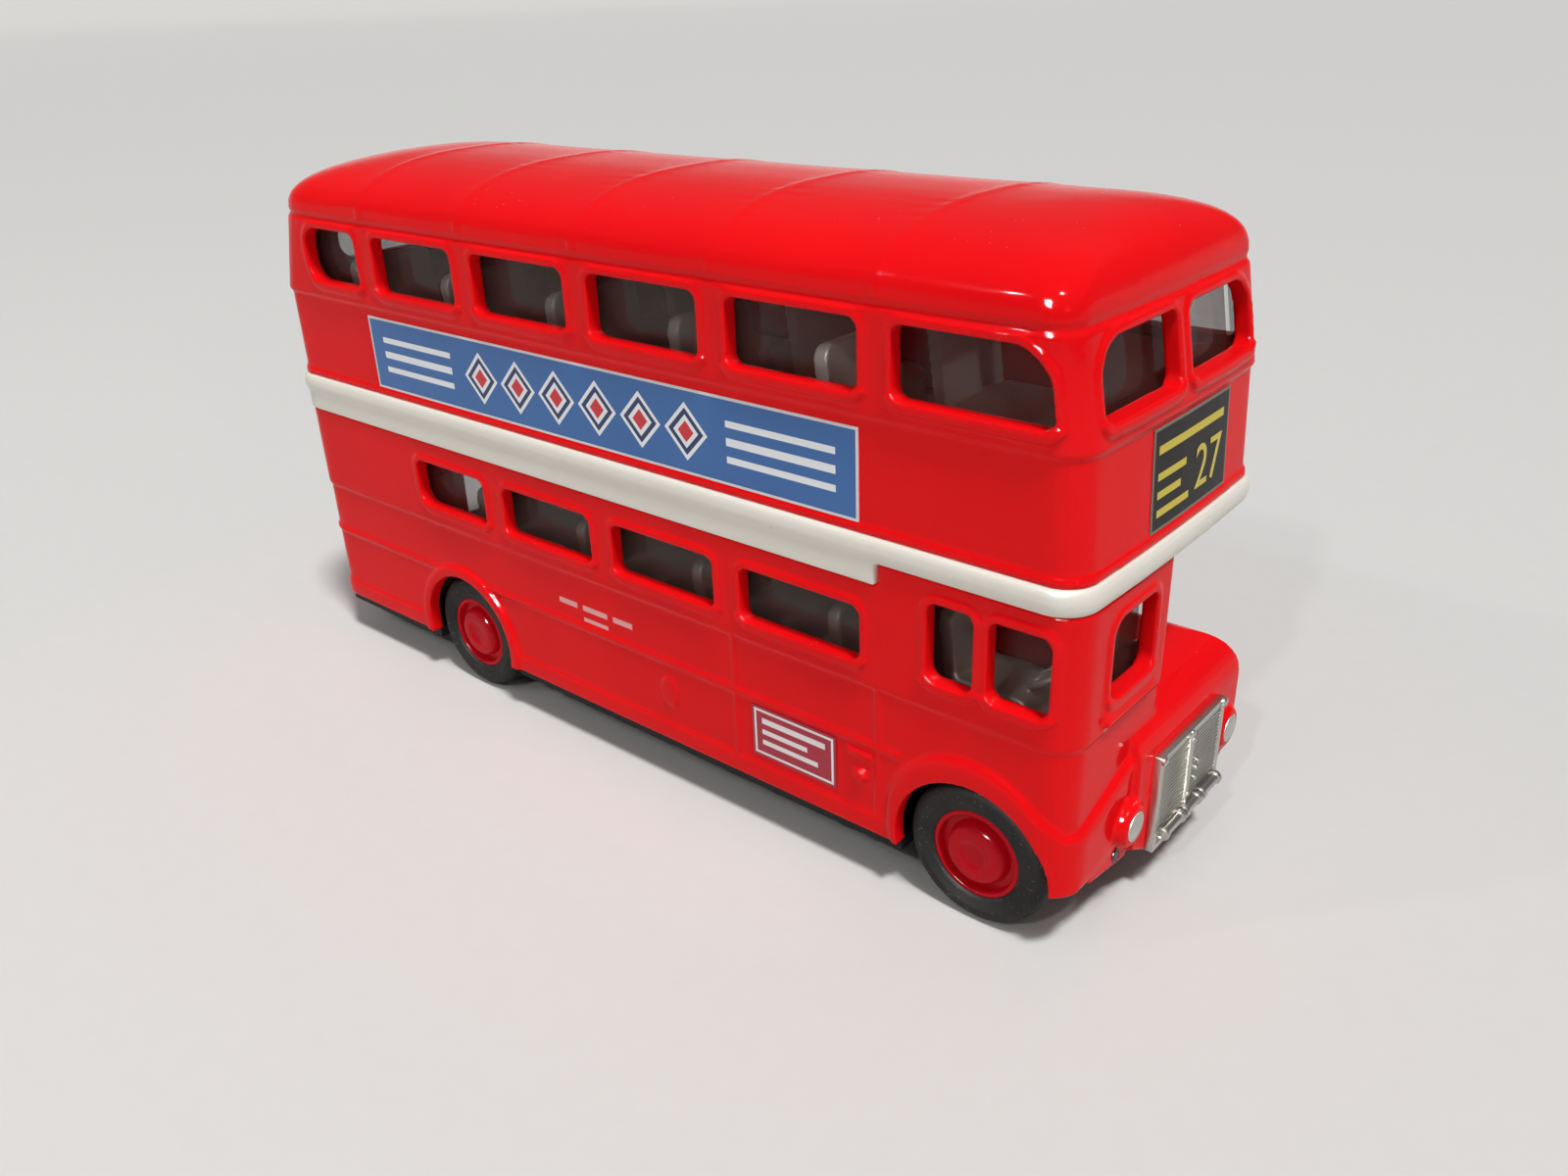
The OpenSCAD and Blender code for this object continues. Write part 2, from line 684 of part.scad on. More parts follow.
// Deck moulding
function band_ring(z, out) =
    level(plan_pts(x_tail - out, x_nose + out, hw + out, round_r(tail_r + out), round_r(nose_r + out)), z);

upper_bench_x = [for (i = [0:bay_count]) x_bay + (i - 1 + bench_share) * bay_pitch];

module deck_moulding() color(band_cream) {
    difference() {
        union() {
            loft([for (k = [0:bead_steps]) let (a = 180 * k / bead_steps)
                band_ring(z_bead + bead_h * (1 - cos(a)) / 2, lip_out + band_out * sin(a))]);
            loft([band_ring(z_deck - over, -wall - fit), band_ring(z_deck + upstand_h, -wall - fit)]);
            intersection() {
                loft([band_ring(z_skirt, rail_out + skirt_out),
                      band_ring(z_bead + over, rail_out + skirt_out)]);
                block([x_tail - over, -body_w, z_skirt], [x_front_bay - run_fit, body_w, z_deck]);
            }
        }
        loft([band_ring(z_floor, -wall - fit - upstand_t),
              band_ring(z_deck + upstand_h + over, -wall - fit - upstand_t)]);
        block([x_tail + skirt_t, -hw + skirt_t, z_skirt - over],
              [x_front_bay - skirt_t, hw - skirt_t, z_bead]);
    }
    benches(upper_bench_x, x_nose, z_floor, bench_h, z_upper_pane + bench_rise);
}

// Lower interior
tray_x0 = x_tail + platform_l;
tray_y = hw - wall - fit - glass_t - fit;
lower_bench_x = [for (i = [0:bay_count - 1]) x_bay + (i + bench_share) * bay_pitch];

function platform_pts() =
    box_pts([x_tail + wall + fit, -hw + wall + fit], [tray_x0, hw - wall - fit],
            [round_r(tail_r - wall - fit), least_r, least_r, round_r(tail_r - wall - fit)]);

module stair() intersection() {
    rise = (z_skirt - z_platform) / stair_n;
    going = (platform_l - wall - 2 * fit) / stair_n;
    y0 = -hw + wall + fit;
    union() for (i = [0:stair_n - 1])
        block([tray_x0 - (i + 1) * going, y0, z_platform - tray_t],
              [tray_x0 - i * going, y0 + stair_w, z_platform + rise * (i + 1) - rise / 2]);
    translate([0, 0, z_platform - tray_t]) linear_extrude(z_skirt - z_platform + tray_t)
        polygon(platform_pts());
}

cab_y0 = -tray_y;
cab_y1 = y_cab - wall - 2 * fit - glass_t;
z_cab_floor = z_wing + tray_gap;

module steering_wheel()
    translate([x_nose - steer_x, cab_y0 + driver_y + driver_w / 2, z_cab_floor + cab_floor_t])
    rotate([0, -steer_lean, 0]) {
        translate([0, 0, -cab_floor_t]) cylinder(d = steer_t, h = steer_l + cab_floor_t, $fn = 24);
        translate([0, 0, steer_l]) {
            rotate_extrude($fn = 48) translate([steer_d / 2, 0]) circle(d = steer_t, $fn = 24);
            for (a = [0, 90]) rotate([0, 0, a]) rotate([90, 0, 0])
                cylinder(d = steer_t, h = steer_d, center = true, $fn = 24);
        }
    }

module cab_furniture() {
    x0 = x_cab - wall - tray_t;
    block([x0, cab_y0, z_tray], [x_cab - wall, cab_y1, z_cab_head]);
    block([x0, cab_y0, z_cab_floor], [x_nose - 2 * wall, cab_y1, z_cab_floor + cab_floor_t]);
    bench(x_cab + driver_x, x_nose, cab_y0 + driver_y, cab_y0 + driver_y + driver_w,
          z_cab_floor + cab_floor_t, driver_seat_h, z_cab_floor + cab_floor_t + driver_h);
    steering_wheel();
}

module lower_interior() color(seat_grey) {
    difference() {
        union() {
            block([tray_x0 - tray_t, -tray_y, z_tray], [x_cab - wall - tray_t / 2, tray_y, z_tray + tray_t]);
            block([tray_x0 - tray_t, -tray_y, z_platform - tray_t], [tray_x0, tray_y, z_tray + tray_t]);
        }
        for (x = post_x)
            translate([x, 0, z_tray - over]) cylinder(d = rivet_d, h = tray_t + 2 * over, $fn = 32);
    }
    translate([0, 0, z_platform - tray_t]) linear_extrude(tray_t) polygon(platform_pts());
    stair();
    translate([x_tail + pole_inset + wall, hw - pole_inset - wall, z_platform - tray_t])
        cylinder(d = pole_d, h = z_bead - fit - z_platform + tray_t, $fn = 32);
    benches(lower_bench_x, x_cab - wall - fit, z_tray + tray_t, lower_bench_h, z_lower_pane + bench_rise);
    cab_furniture();
}

// Clear mouldings
module upper_glazing() color(clear) difference() {
    loft([upper_ring(z_upper_pane - glass_lap, -wall - fit), upper_ring(z_gutter - fit, -wall - fit)]);
    loft([upper_ring(z_upper_pane - glass_lap - over, -wall - fit - glass_t),
          upper_ring(z_upper_head + glass_lap / 2, -wall - fit - glass_t)]);
    loft([upper_ring(z_upper_head, -wall - fit - glass_t - flange_w),
          upper_ring(z_gutter + over, -wall - fit - glass_t - flange_w)]);
}

function cab_glass_nose(d) =
    let (r = round_r(nose_r - wall - d)) arc_pts([x_nose - wall - d - r, -hw + wall + d + r], r, 270, 360);
function lower_glass_pts(d) = concat(
    [[tray_x0 + d, -hw + wall + d]],
    cab_glass_nose(d),
    [[x_nose - wall - d, y_cab - wall - d], [x_cab - wall - d, y_cab - wall - d],
     [x_cab - wall - d, hw - wall - d], [tray_x0 + d, hw - wall - d]]);
function cab_glass_pts(d) = concat(
    [[x_cab + d, -hw + wall + d]],
    cab_glass_nose(d),
    [[x_nose - wall - d, y_cab - wall - d], [x_cab + d, y_cab - wall - d]]);

module glass_band(z0, z1, outer, inner) translate([0, 0, z0]) linear_extrude(z1 - z0) difference() {
    polygon(outer);
    polygon(inner);
}

module lower_glazing() color(clear) {
    glass_band(z_lower_pane - glass_lap, z_skirt - fit, lower_glass_pts(fit), lower_glass_pts(fit + glass_t));
    glass_band(z_skirt - 2 * fit, z_bead - fit, cab_glass_pts(fit), cab_glass_pts(fit + glass_t));
}

// Grille and bumper, seated on the bonnet's front by two pegs
module grille_and_bumper() color(chrome) {
    y0 = grille_y - grille_w / 2;
    y1 = grille_y + grille_w / 2;
    x1 = x_bonnet + grille_t;
    pitch = (grille_h - 2 * grille_frame) / rib_count;
    x_bumper = x_tip - bumper_d / 2 - bumper_bead;
    z_bumper = chin_z + bumper_z;
    block([x_bonnet, y0, chin_z], [x1 - rib_out, y1, chin_z + grille_h]);
    difference() {
        block([x_bonnet, y0, chin_z], [x1, y1, chin_z + grille_h]);
        block([x_bonnet - over, y0 + grille_frame, chin_z + grille_frame],
              [x1 + over, y1 - grille_frame, chin_z + grille_h - grille_frame]);
    }
    for (i = [0:rib_count - 1])
        block([x_bonnet, y0 + grille_frame / 2, chin_z + grille_frame + (i + (1 - rib_share) / 2) * pitch],
              [x1, y1 - grille_frame / 2, chin_z + grille_frame + (i + (1 + rib_share) / 2) * pitch]);
    block([x_bonnet, grille_y - grille_bar / 2, chin_z],
          [x1 + grille_bar_out, grille_y + grille_bar / 2, chin_z + grille_h]);
    rod_y(x_bumper, z_bumper, bumper_d, grille_y - bumper_w / 2, grille_y + bumper_w / 2);
    for (s = bumper_bead_shares) {
        y = grille_y + s * (bumper_w - bumper_bead_w) / 2;
        rod_y(x_bumper, z_bumper, bumper_d + 2 * bumper_bead, y - bumper_bead_w / 2, y + bumper_bead_w / 2);
    }
    for (s = [-1, 1]) {
        y = grille_y + s * bumper_w / 4;
        block([x_bonnet, y - bumper_arm_w / 2, z_bumper - bumper_d / 4],
              [x_bumper, y + bumper_arm_w / 2, z_bumper + bumper_d / 4]);
    }
    for (y = [y0 + grille_frame / 2, y1 - grille_frame / 2])
        translate([x_bonnet, y, chin_z + grille_h - grille_frame / 2]) rotate([0, 90, 0])
            cylinder(d = stud_d, h = grille_t + grille_bar_out, $fn = 32);
    for (y = [-peg_y, peg_y])
        translate([x_bonnet - peg_l, grille_y + y, chin_z + grille_h / 2]) rotate([0, 90, 0])
            cylinder(d = peg_d, h = peg_l + grille_t / 2, $fn = 32);
}

// Base with its axle bearings
module bearing_blocks(x) both_sides()
    across(box_pts([x - axle_d / 2 - bearing_wall, sill_z - base_t / 2],
                   [x + axle_d / 2 + bearing_wall, z_axle + axle_d / 2 + bearing_wall],
                   [base_t / 4, base_t / 4, axle_d / 2, axle_d / 2]),
           wheel_in_y - bearing_gap - bearing_w, wheel_in_y - bearing_gap);

module baseplate() color(rubber) difference() {
    union() {
        translate([0, 0, sill_z - base_t]) linear_extrude(base_t) difference() {
            polygon(box_pts([x_tail + base_inset, -hw + base_inset],
                            [x_nose - wall - base_inset, hw - base_inset], even(base_r)));
            for (x = [x_rear_axle, x_front_axle], s = [-1, 1])
                translate([x, s * (hw + wheel_in_y - wheel_room) / 2])
                    square([2 * arch_r, hw - wheel_in_y + wheel_room], center = true);
        }
        bearing_blocks(x_rear_axle);
        bearing_blocks(x_front_axle);
    }
    for (x = [x_rear_axle, x_front_axle]) rod_y(x, z_axle, axle_d + 2 * run_fit, -hw, hw);
    for (x = post_x) translate([x, 0, 0]) {
        cylinder(d = rivet_d + 2 * run_fit, h = 2 * sill_z, $fn = 32);
        cylinder(d = rivet_head_d + 2 * run_fit, h = sill_z - base_t + rivet_head_h, $fn = 32);
    }
}

module base_rivets() color(chrome) for (x = post_x) translate([x, 0, sill_z - base_t]) {
    cylinder(d = rivet_d, h = base_t + rivet_l - over, $fn = 32);
    cylinder(d = rivet_head_d, h = rivet_head_h, $fn = 32);
}

// Wheels: the hub is a dished disc with a raised dome, pressed on the axle, with the tyre stretched round it
module axle(x) color(chrome)
    rod_y(x, z_axle, axle_d, -wheel_y + hub_dish + hub_web, wheel_y - hub_dish - hub_web);

module wheel_place(x, s) translate([x, s * wheel_y, z_axle]) rotate([s * 90, 0, 0]) children();

module hub(x, s) color(body_red) wheel_place(x, s) rotate_extrude($fn = 96) polygon([
    [0, hub_eye_depth], [hub_eye_d / 2, hub_eye_depth], [hub_eye_d / 2 + hub_eye_depth, 0],
    [hub_dome_d / 2 - hub_eye_depth, 0], [hub_dome_d / 2, hub_eye_depth],
    [hub_dome_d / 2 + hub_eye_depth, hub_dish], [hub_d / 2 - hub_wall, hub_dish],
    [hub_d / 2 - hub_wall, tyre_bead], [hub_d / 2, tyre_bead],
    [hub_d / 2, tyre_w], [axle_d / 2, tyre_w], [axle_d / 2, hub_dish + hub_web],
    [0, hub_dish + hub_web]]);

module tyre(x, s) color(rubber) wheel_place(x, s) rotate_extrude($fn = 96) polygon(concat(
    [[hub_d / 2, tyre_bead], [hub_d / 2 + tyre_bead, 0]],
    arc_pts([tyre_d / 2 - tyre_edge, tyre_edge], tyre_edge, -90, 0),
    arc_pts([tyre_d / 2 - tyre_edge, tyre_w - tyre_edge], tyre_edge, 0, 90),
    [[hub_d / 2, tyre_w]]));

module front_axle() axle(x_front_axle);
module rear_axle() axle(x_rear_axle);
module hub_front_right() hub(x_front_axle, -1);
module hub_front_left() hub(x_front_axle, 1);
module hub_rear_right() hub(x_rear_axle, -1);
module hub_rear_left() hub(x_rear_axle, 1);
module tyre_front_right() tyre(x_front_axle, -1);
module tyre_front_left() tyre(x_front_axle, 1);
module tyre_rear_right() tyre(x_rear_axle, -1);
module tyre_rear_left() tyre(x_rear_axle, 1);

// Labels
module side_label() color("#2f5fa8") {
    z0 = z_deck + lip_h + side_label_rise;
    block([x_bay - side_label_ends, -hw - label_gap - label_t, z0],
          [x_front_bay - side_label_ends, -hw - label_gap, z0 + side_label_h]);
}

module front_label() color("#161616") {
    z0 = z_deck + lip_h + front_label_rise;
    z1 = z0 + front_label_h;
    intersection() {
        difference() {
            loft([upper_ring(z0 - lip_out, label_gap + label_t),
                  upper_ring(z1 + lip_out, label_gap + label_t)]);
            loft([upper_ring(z0 - lip_h, label_gap), upper_ring(z1 + lip_h, label_gap)]);
        }
        block([x_nose - nose_r, front_label_y - front_label_w / 2, z0],
              [x_tip, front_label_y + front_label_w / 2, z1]);
    }
}

module notice_label() color("#a01020") {
    x0 = x_front_bay - notice_x - notice_w;
    block([x0, -hw - label_gap - label_t, sill_z + notice_z],
          [x0 + notice_w, -hw - label_gap, sill_z + notice_z + notice_h]);
}

upper_body();
lower_body();
deck_moulding();
lower_interior();
upper_glazing();
lower_glazing();
grille_and_bumper();
baseplate();
base_rivets();
front_axle();
rear_axle();
hub_front_right();
hub_front_left();
hub_rear_right();
hub_rear_left();
tyre_front_right();
tyre_front_left();
tyre_rear_right();
tyre_rear_left();
side_label();
front_label();
notice_label();
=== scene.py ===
"""Looks of the toy double-deck bus: softened castings, mouldings, plating, wheels, prints and a studio."""

import logging
import math
from dataclasses import dataclass
from enum import Enum
from typing import Callable, Iterable, Optional, Sequence, Union

import bmesh
import bpy
from mathutils import Matrix, Vector


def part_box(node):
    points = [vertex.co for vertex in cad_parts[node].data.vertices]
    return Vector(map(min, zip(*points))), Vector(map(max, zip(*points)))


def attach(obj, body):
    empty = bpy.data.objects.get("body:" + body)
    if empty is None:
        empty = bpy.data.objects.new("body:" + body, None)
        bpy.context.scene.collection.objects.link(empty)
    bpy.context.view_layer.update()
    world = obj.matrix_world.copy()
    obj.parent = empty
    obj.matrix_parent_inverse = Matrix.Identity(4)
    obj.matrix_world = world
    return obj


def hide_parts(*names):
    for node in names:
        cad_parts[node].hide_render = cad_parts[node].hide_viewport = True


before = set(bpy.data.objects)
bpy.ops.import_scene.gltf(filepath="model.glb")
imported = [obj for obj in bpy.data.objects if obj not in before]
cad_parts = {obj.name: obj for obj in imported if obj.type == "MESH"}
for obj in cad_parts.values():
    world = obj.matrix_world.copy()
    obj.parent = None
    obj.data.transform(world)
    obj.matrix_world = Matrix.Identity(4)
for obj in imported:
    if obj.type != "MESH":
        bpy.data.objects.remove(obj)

LOG = logging.getLogger("bus")
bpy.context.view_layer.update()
MM = 0.001
WELD = 0.001 * MM
SPECK_EDGE = (0.72, 0.78)
CLOUD_EDGE = (0.3, 0.75)
INK_EDGE = (0.3, 0.8)
PAINT_IOR = 1.45
PLASTIC_IOR = 1.5
SHEET_DEPTH = 0.00002
SKIN_DEPTH = 0.00003
FACING = 0.9
FORWARD = Vector((1, 0, 0))

Colour = tuple[float, float, float]
Corner = tuple[float, float, float]
Span = tuple[float, float]
Steps = tuple[tuple[float, float], ...]
Bar = tuple[float, float, float, float]
Test = Callable[[Vector, Vector], bool]


class Body(Enum):
    """Bodies of the frame that pieces ride on."""

    BUS = "bus"
    FRONT = "front_wheels"
    REAR = "rear_wheels"


class Slot(Enum):
    """Material slots of the record."""

    BODY = "body_paint"
    BAND = "band_plastic"
    INTERIOR = "interior_plastic"
    PLATED = "plated"
    HUB = "hub_paint"
    TYRE = "rubber"
    SIGN = "label_black"


class Side(Enum):
    """Side of the bus, as the sign of Y."""

    RIGHT = -1
    LEFT = 1


@dataclass(frozen=True)
class Signal:
    """A shader socket that takes part in sums and products."""

    shader: "Shader"
    socket: bpy.types.NodeSocket

    def __add__(self, other: "Number") -> "Signal":
        """Sum of the two."""
        return self.shader.math("ADD", self, other)

    def __sub__(self, other: "Number") -> "Signal":
        """Difference of the two."""
        return self.shader.math("SUBTRACT", self, other)

    def __rsub__(self, other: "Number") -> "Signal":
        """Difference of the two, the other way round."""
        return self.shader.math("SUBTRACT", other, self)

    def __mul__(self, other: "Number") -> "Signal":
        """Product of the two."""
        return self.shader.math("MULTIPLY", self, other)

    def __truediv__(self, other: "Number") -> "Signal":
        """Quotient of the two."""
        return self.shader.math("DIVIDE", self, other)

    def __abs__(self) -> "Signal":
        """Value without its sign."""
        return self.shader.math("ABSOLUTE", self)

    def above(self, other: "Number") -> "Signal":
        """One where this is the greater, else nought."""
        return self.shader.math("GREATER_THAN", self, other)

    def below(self, other: "Number") -> "Signal":
        """One where this is the smaller, else nought."""
        return self.shader.math("LESS_THAN", self, other)

    def between(self, low: float, high: float) -> "Signal":
        """One between two values, else nought."""
        return self.above(low) * self.below(high)

    def ease(self, low: float, high: float) -> "Signal":
        """Smooth step from nought at one value to one at another."""
        made = self.shader.node("ShaderNodeMapRange", {"interpolation_type": "SMOOTHSTEP"},
                                {"Value": self, "From Min": low, "From Max": high})
        return Signal(self.shader, made.outputs["Result"])


Number = Union[float, Signal]


class Shader:
    """Node tree of one finish, or of the world."""

    def __init__(self, name: str, world: Optional[bpy.types.World] = None) -> None:
        """Start an empty tree on a new material of that name, or on a world."""
        self.owner = world or bpy.data.materials.new(name)
        self.owner.use_nodes = True
        self.tree = self.owner.node_tree
        self.tree.nodes.clear()

    def node(self, kind: str, settings: Optional[dict[str, object]] = None,
             inputs: Optional[dict[Union[str, int], object]] = None) -> bpy.types.Node:
        """Add one node.

        Args:
            kind: Blender's name of the node type.
            settings: Values of the node itself, set before its sockets.
            inputs: Values or signals by socket name or number.

        Returns:
            The node.
        """
        made = self.tree.nodes.new(kind)
        for key, value in (settings or {}).items():
            setattr(made, key, value)
        for key, value in (inputs or {}).items():
            if isinstance(value, Signal):
                self.tree.links.new(value.socket, made.inputs[key])
            else:
                made.inputs[key].default_value = value
        return made

    def math(self, operation: str, *values: Number) -> Signal:
        """Signal of one Math node over the values."""
        made = self.node("ShaderNodeMath", {"operation": operation}, dict(enumerate(values)))
        return Signal(self, made.outputs[0])

    def place(self) -> Signal:
        """Object coordinates as a vector."""
        return Signal(self, self.node("ShaderNodeTexCoord").outputs["Object"])

    def parts(self, vector: Signal) -> tuple[Signal, Signal, Signal]:
        """X, Y and Z of a vector."""
        made = self.node("ShaderNodeSeparateXYZ", inputs={0: vector})
        return tuple(Signal(self, out) for out in made.outputs)

    def upward(self) -> Signal:
        """Share by which the surface faces up."""
        normal = Signal(self, self.node("ShaderNodeNewGeometry").outputs["Normal"])
        return self.parts(normal)[2]

    def noise(self, size: float, detail: float = 2.0, stretch: Corner = (1, 1, 1)) -> Signal:
        """Cloudy noise.

        Args:
            size: Size of its features in metres.
            detail: Octaves of finer noise.
            stretch: Factors on X, Y and Z.

        Returns:
            The noise, from nought to one.
        """
        turned = self.node("ShaderNodeMapping", inputs={"Vector": self.place(), "Scale": stretch})
        made = self.node("ShaderNodeTexNoise", inputs={
            "Vector": Signal(self, turned.outputs[0]), "Scale": 1.0 / size, "Detail": detail})
        return Signal(self, made.outputs[0])

    def specks(self, size: float, patch: float, edge: Span) -> Signal:
        """Fine specks of one size in patches of another; the edge is where a patch's noise lets them in."""
        return self.noise(size, 1.0).ease(*SPECK_EDGE) * self.noise(patch).ease(*edge)

    def mix(self, share: Number, first: object, second: object) -> Signal:
        """Colour between two others."""
        made = self.node("ShaderNodeMix", {"data_type": "RGBA"},
                         {0: share, 6: self.paint(first), 7: self.paint(second)})
        return Signal(self, made.outputs[2])

    @staticmethod
    def paint(colour: object) -> object:
        """A colour as a socket takes it."""
        return colour if isinstance(colour, Signal) else (*colour, 1.0)

    @staticmethod
    def inside(u: Signal, v: Signal, bar: Bar) -> Signal:
        """One inside a bar given in millimetres, else nought."""
        u0, u1, v0, v1 = (value * MM for value in bar)
        return u.between(u0, u1) * v.between(v0, v1)

    def bump(self, height: Signal, strength: float, distance: float) -> Signal:
        """Normal that follows a height."""
        made = self.node("ShaderNodeBump", inputs={
            "Height": height, "Strength": strength, "Distance": distance})
        return Signal(self, made.outputs[0])

    def surface(self, inputs: dict[str, object]) -> bpy.types.Material:
        """Close the tree with one principled shader."""
        shade = self.node("ShaderNodeBsdfPrincipled", inputs=inputs)
        self.node("ShaderNodeOutputMaterial", inputs={"Surface": Signal(self, shade.outputs[0])})
        return self.owner


@dataclass(frozen=True)
class Enamel:
    """Glossy sprayed enamel on a casting, with orange peel and a little settled dust."""

    name: str
    colour: Colour
    shade: Colour
    roughness: float = 0.13
    coat: float = 0.2
    gloss: float = 0.02
    dust: Colour = (0.72, 0.36, 0.32)
    dust_share: float = 0.22
    bars: tuple[Bar, ...] = ()
    bar_colour: Colour = (0.78, 0.4, 0.4)
    bar_side: float = -17 * MM
    cloud_size: float = 0.018
    peel_size: float = 0.0011
    speck_size: float = 0.00042
    patch_size: float = 0.009
    patch_edge: Span = (0.52, 0.64)
    flat_edge: Span = (0.3, 0.9)
    peel_bump: float = 0.08
    peel_roughness: float = 0.06
    dust_roughness: float = 0.3
    coat_roughness: float = 0.04

    def build(self) -> bpy.types.Material:
        """Make the material."""
        s = Shader(self.name)
        cloud, peel = s.noise(self.cloud_size, 3.0), s.noise(self.peel_size, 1.0)
        specks = s.specks(self.speck_size, self.patch_size, self.patch_edge)
        settled = specks * s.upward().ease(*self.flat_edge)
        colour = s.mix(cloud.ease(*CLOUD_EDGE), self.colour, self.shade)
        colour = s.mix(settled * self.dust_share, colour, self.dust)
        if self.bars:
            x, y, z = s.parts(s.place())
            marks: Number = 0.0
            for bar in self.bars:
                marks = s.inside(x, z, bar) + marks
            colour = s.mix(marks * y.below(self.bar_side), colour, self.bar_colour)
        rough = peel * self.peel_roughness + self.roughness + settled * self.dust_roughness
        return s.surface({
            "Base Color": colour, "Roughness": rough, "Coat Weight": self.coat,
            "Coat Roughness": self.coat_roughness, "IOR": PAINT_IOR, "Specular IOR Level": self.gloss,
            "Normal": s.bump(peel, self.peel_bump, SKIN_DEPTH)})


@dataclass(frozen=True)
class Moulding:
    """Moulded plastic with faint flow clouds and a fine skin."""

    name: str
    colour: Colour
    shade: Colour
    roughness: float = 0.32
    grain: float = 0.06
    grime: Colour = (0.28, 0.24, 0.19)
    grime_share: float = 0.35
    flow_size: float = 0.012
    flow_stretch: Corner = (0.25, 1, 1)
    skin_size: float = 0.0006
    speck_size: float = 0.0005
    patch_size: float = 0.012
    patch_edge: Span = (0.5, 0.65)
    skin_roughness: float = 0.12

    def build(self) -> bpy.types.Material:
        """Make the material."""
        s = Shader(self.name)
        flow = s.noise(self.flow_size, 3.0, self.flow_stretch)
        skin = s.noise(self.skin_size, 2.0)
        specks = s.specks(self.speck_size, self.patch_size, self.patch_edge)
        colour = s.mix(flow.ease(*CLOUD_EDGE), self.colour, self.shade)
        colour = s.mix(specks * self.grime_share, colour, self.grime)
        return s.surface({
            "Base Color": colour, "Roughness": skin * self.skin_roughness + self.roughness,
            "IOR": PLASTIC_IOR, "Normal": s.bump(skin, self.grain, SKIN_DEPTH)})


@dataclass(frozen=True)
class ClearMoulding:
    """Clear plastic, more of a mirror at a flat angle, with faint scuffs."""

    name: str
    colour: Colour
    alpha: float
    scuffed: Colour = (0.5, 0.47, 0.43)
    scuff_size: float = 0.0015
    scuff_stretch: Corner = (0.3, 1, 1.5)
    scuff_edge: Span = (0.62, 0.8)
    scuff_share: float = 0.15
    roughness: float = 0.05
    mirror_share: float = 0.6
    gloss: float = 0.9

    def build(self) -> bpy.types.Material:
        """Make the material."""
        s = Shader(self.name)
        edge = Signal(s, s.node("ShaderNodeFresnel", inputs={"IOR": PAINT_IOR}).outputs[0])
        scuff = s.noise(self.scuff_size, 2.0, self.scuff_stretch).ease(*self.scuff_edge)
        colour = s.mix(scuff * self.scuff_share, self.colour, self.scuffed)
        return s.surface({
            "Base Color": colour, "Roughness": scuff * self.scuff_share + self.roughness, "IOR": PLASTIC_IOR,
            "Alpha": edge * self.mirror_share + self.alpha, "Specular IOR Level": self.gloss})


@dataclass(frozen=True)
class Plating:
    """Bright plating on plastic, dulled in patches."""

    name: str
    colour: Colour
    shade: Colour
    roughness: float
    patch_size: float = 0.004
    fine_size: float = 0.0004
    fine_bump: float = 0.02
    dull_edge: Span = (0.42, 0.7)
    dull_roughness: float = 0.1

    def build(self) -> bpy.types.Material:
        """Make the material."""
        s = Shader(self.name)
        dull = s.noise(self.patch_size, 2.0)
        fine = s.noise(self.fine_size, 1.0)
        colour = s.mix(dull.ease(*self.dull_edge), self.colour, self.shade)
        return s.surface({
            "Base Color": colour, "Metallic": 1.0, "Roughness": dull * self.dull_roughness + self.roughness,
            "Normal": s.bump(fine, self.fine_bump, SHEET_DEPTH)})


@dataclass(frozen=True)
class TurnedSteel:
    """Plain steel with fine marks of the lathe."""

    name: str
    colour: Colour = (0.42, 0.42, 0.43)
    shade: Colour = (0.3, 0.28, 0.26)
    roughness: float = 0.2
    mark_size: float = 0.0004
    mark_stretch: Corner = (0.2, 4, 0.2)
    mark_roughness: float = 0.25
    mark_bump: float = 0.1
    cloud_size: float = 0.004
    cloud_edge: Span = (0.45, 0.7)

    def build(self) -> bpy.types.Material:
        """Make the material."""
        s = Shader(self.name)
        marks = s.noise(self.mark_size, 2.0, self.mark_stretch)
        colour = s.mix(s.noise(self.cloud_size).ease(*self.cloud_edge), self.colour, self.shade)
        return s.surface({
            "Base Color": colour, "Metallic": 1.0, "Roughness": marks * self.mark_roughness + self.roughness,
            "Normal": s.bump(marks, self.mark_bump, SKIN_DEPTH)})


@dataclass(frozen=True)
class TyreRubber:
    """Matt black rubber with pale dust."""

    name: str
    colour: Colour = (0.01, 0.01, 0.01)
    worn: Colour = (0.02, 0.019, 0.018)
    dust: Colour = (0.16, 0.14, 0.12)
    dust_share: float = 0.45
    cloud_size: float = 0.004
    grain_size: float = 0.0003
    speck_size: float = 0.00028
    speck_edge: Span = (0.73, 0.79)
    worn_edge: Span = (0.3, 0.7)
    roughness: float = 0.5
    gloss: float = 0.18
    grain_share: float = 0.2
    grain_depth: float = 0.00004

    def build(self) -> bpy.types.Material:
        """Make the material."""
        s = Shader(self.name)
        cloud, grain = s.noise(self.cloud_size, 3.0), s.noise(self.grain_size, 2.0)
        specks = s.noise(self.speck_size, 0.0).ease(*self.speck_edge)
        colour = s.mix(cloud.ease(*self.worn_edge), self.colour, self.worn)
        colour = s.mix(specks * self.dust_share, colour, self.dust)
        return s.surface({
            "Base Color": colour, "Roughness": grain * self.grain_share + self.roughness, "IOR": PAINT_IOR,
            "Specular IOR Level": self.gloss, "Normal": s.bump(grain, self.grain_share, self.grain_depth)})


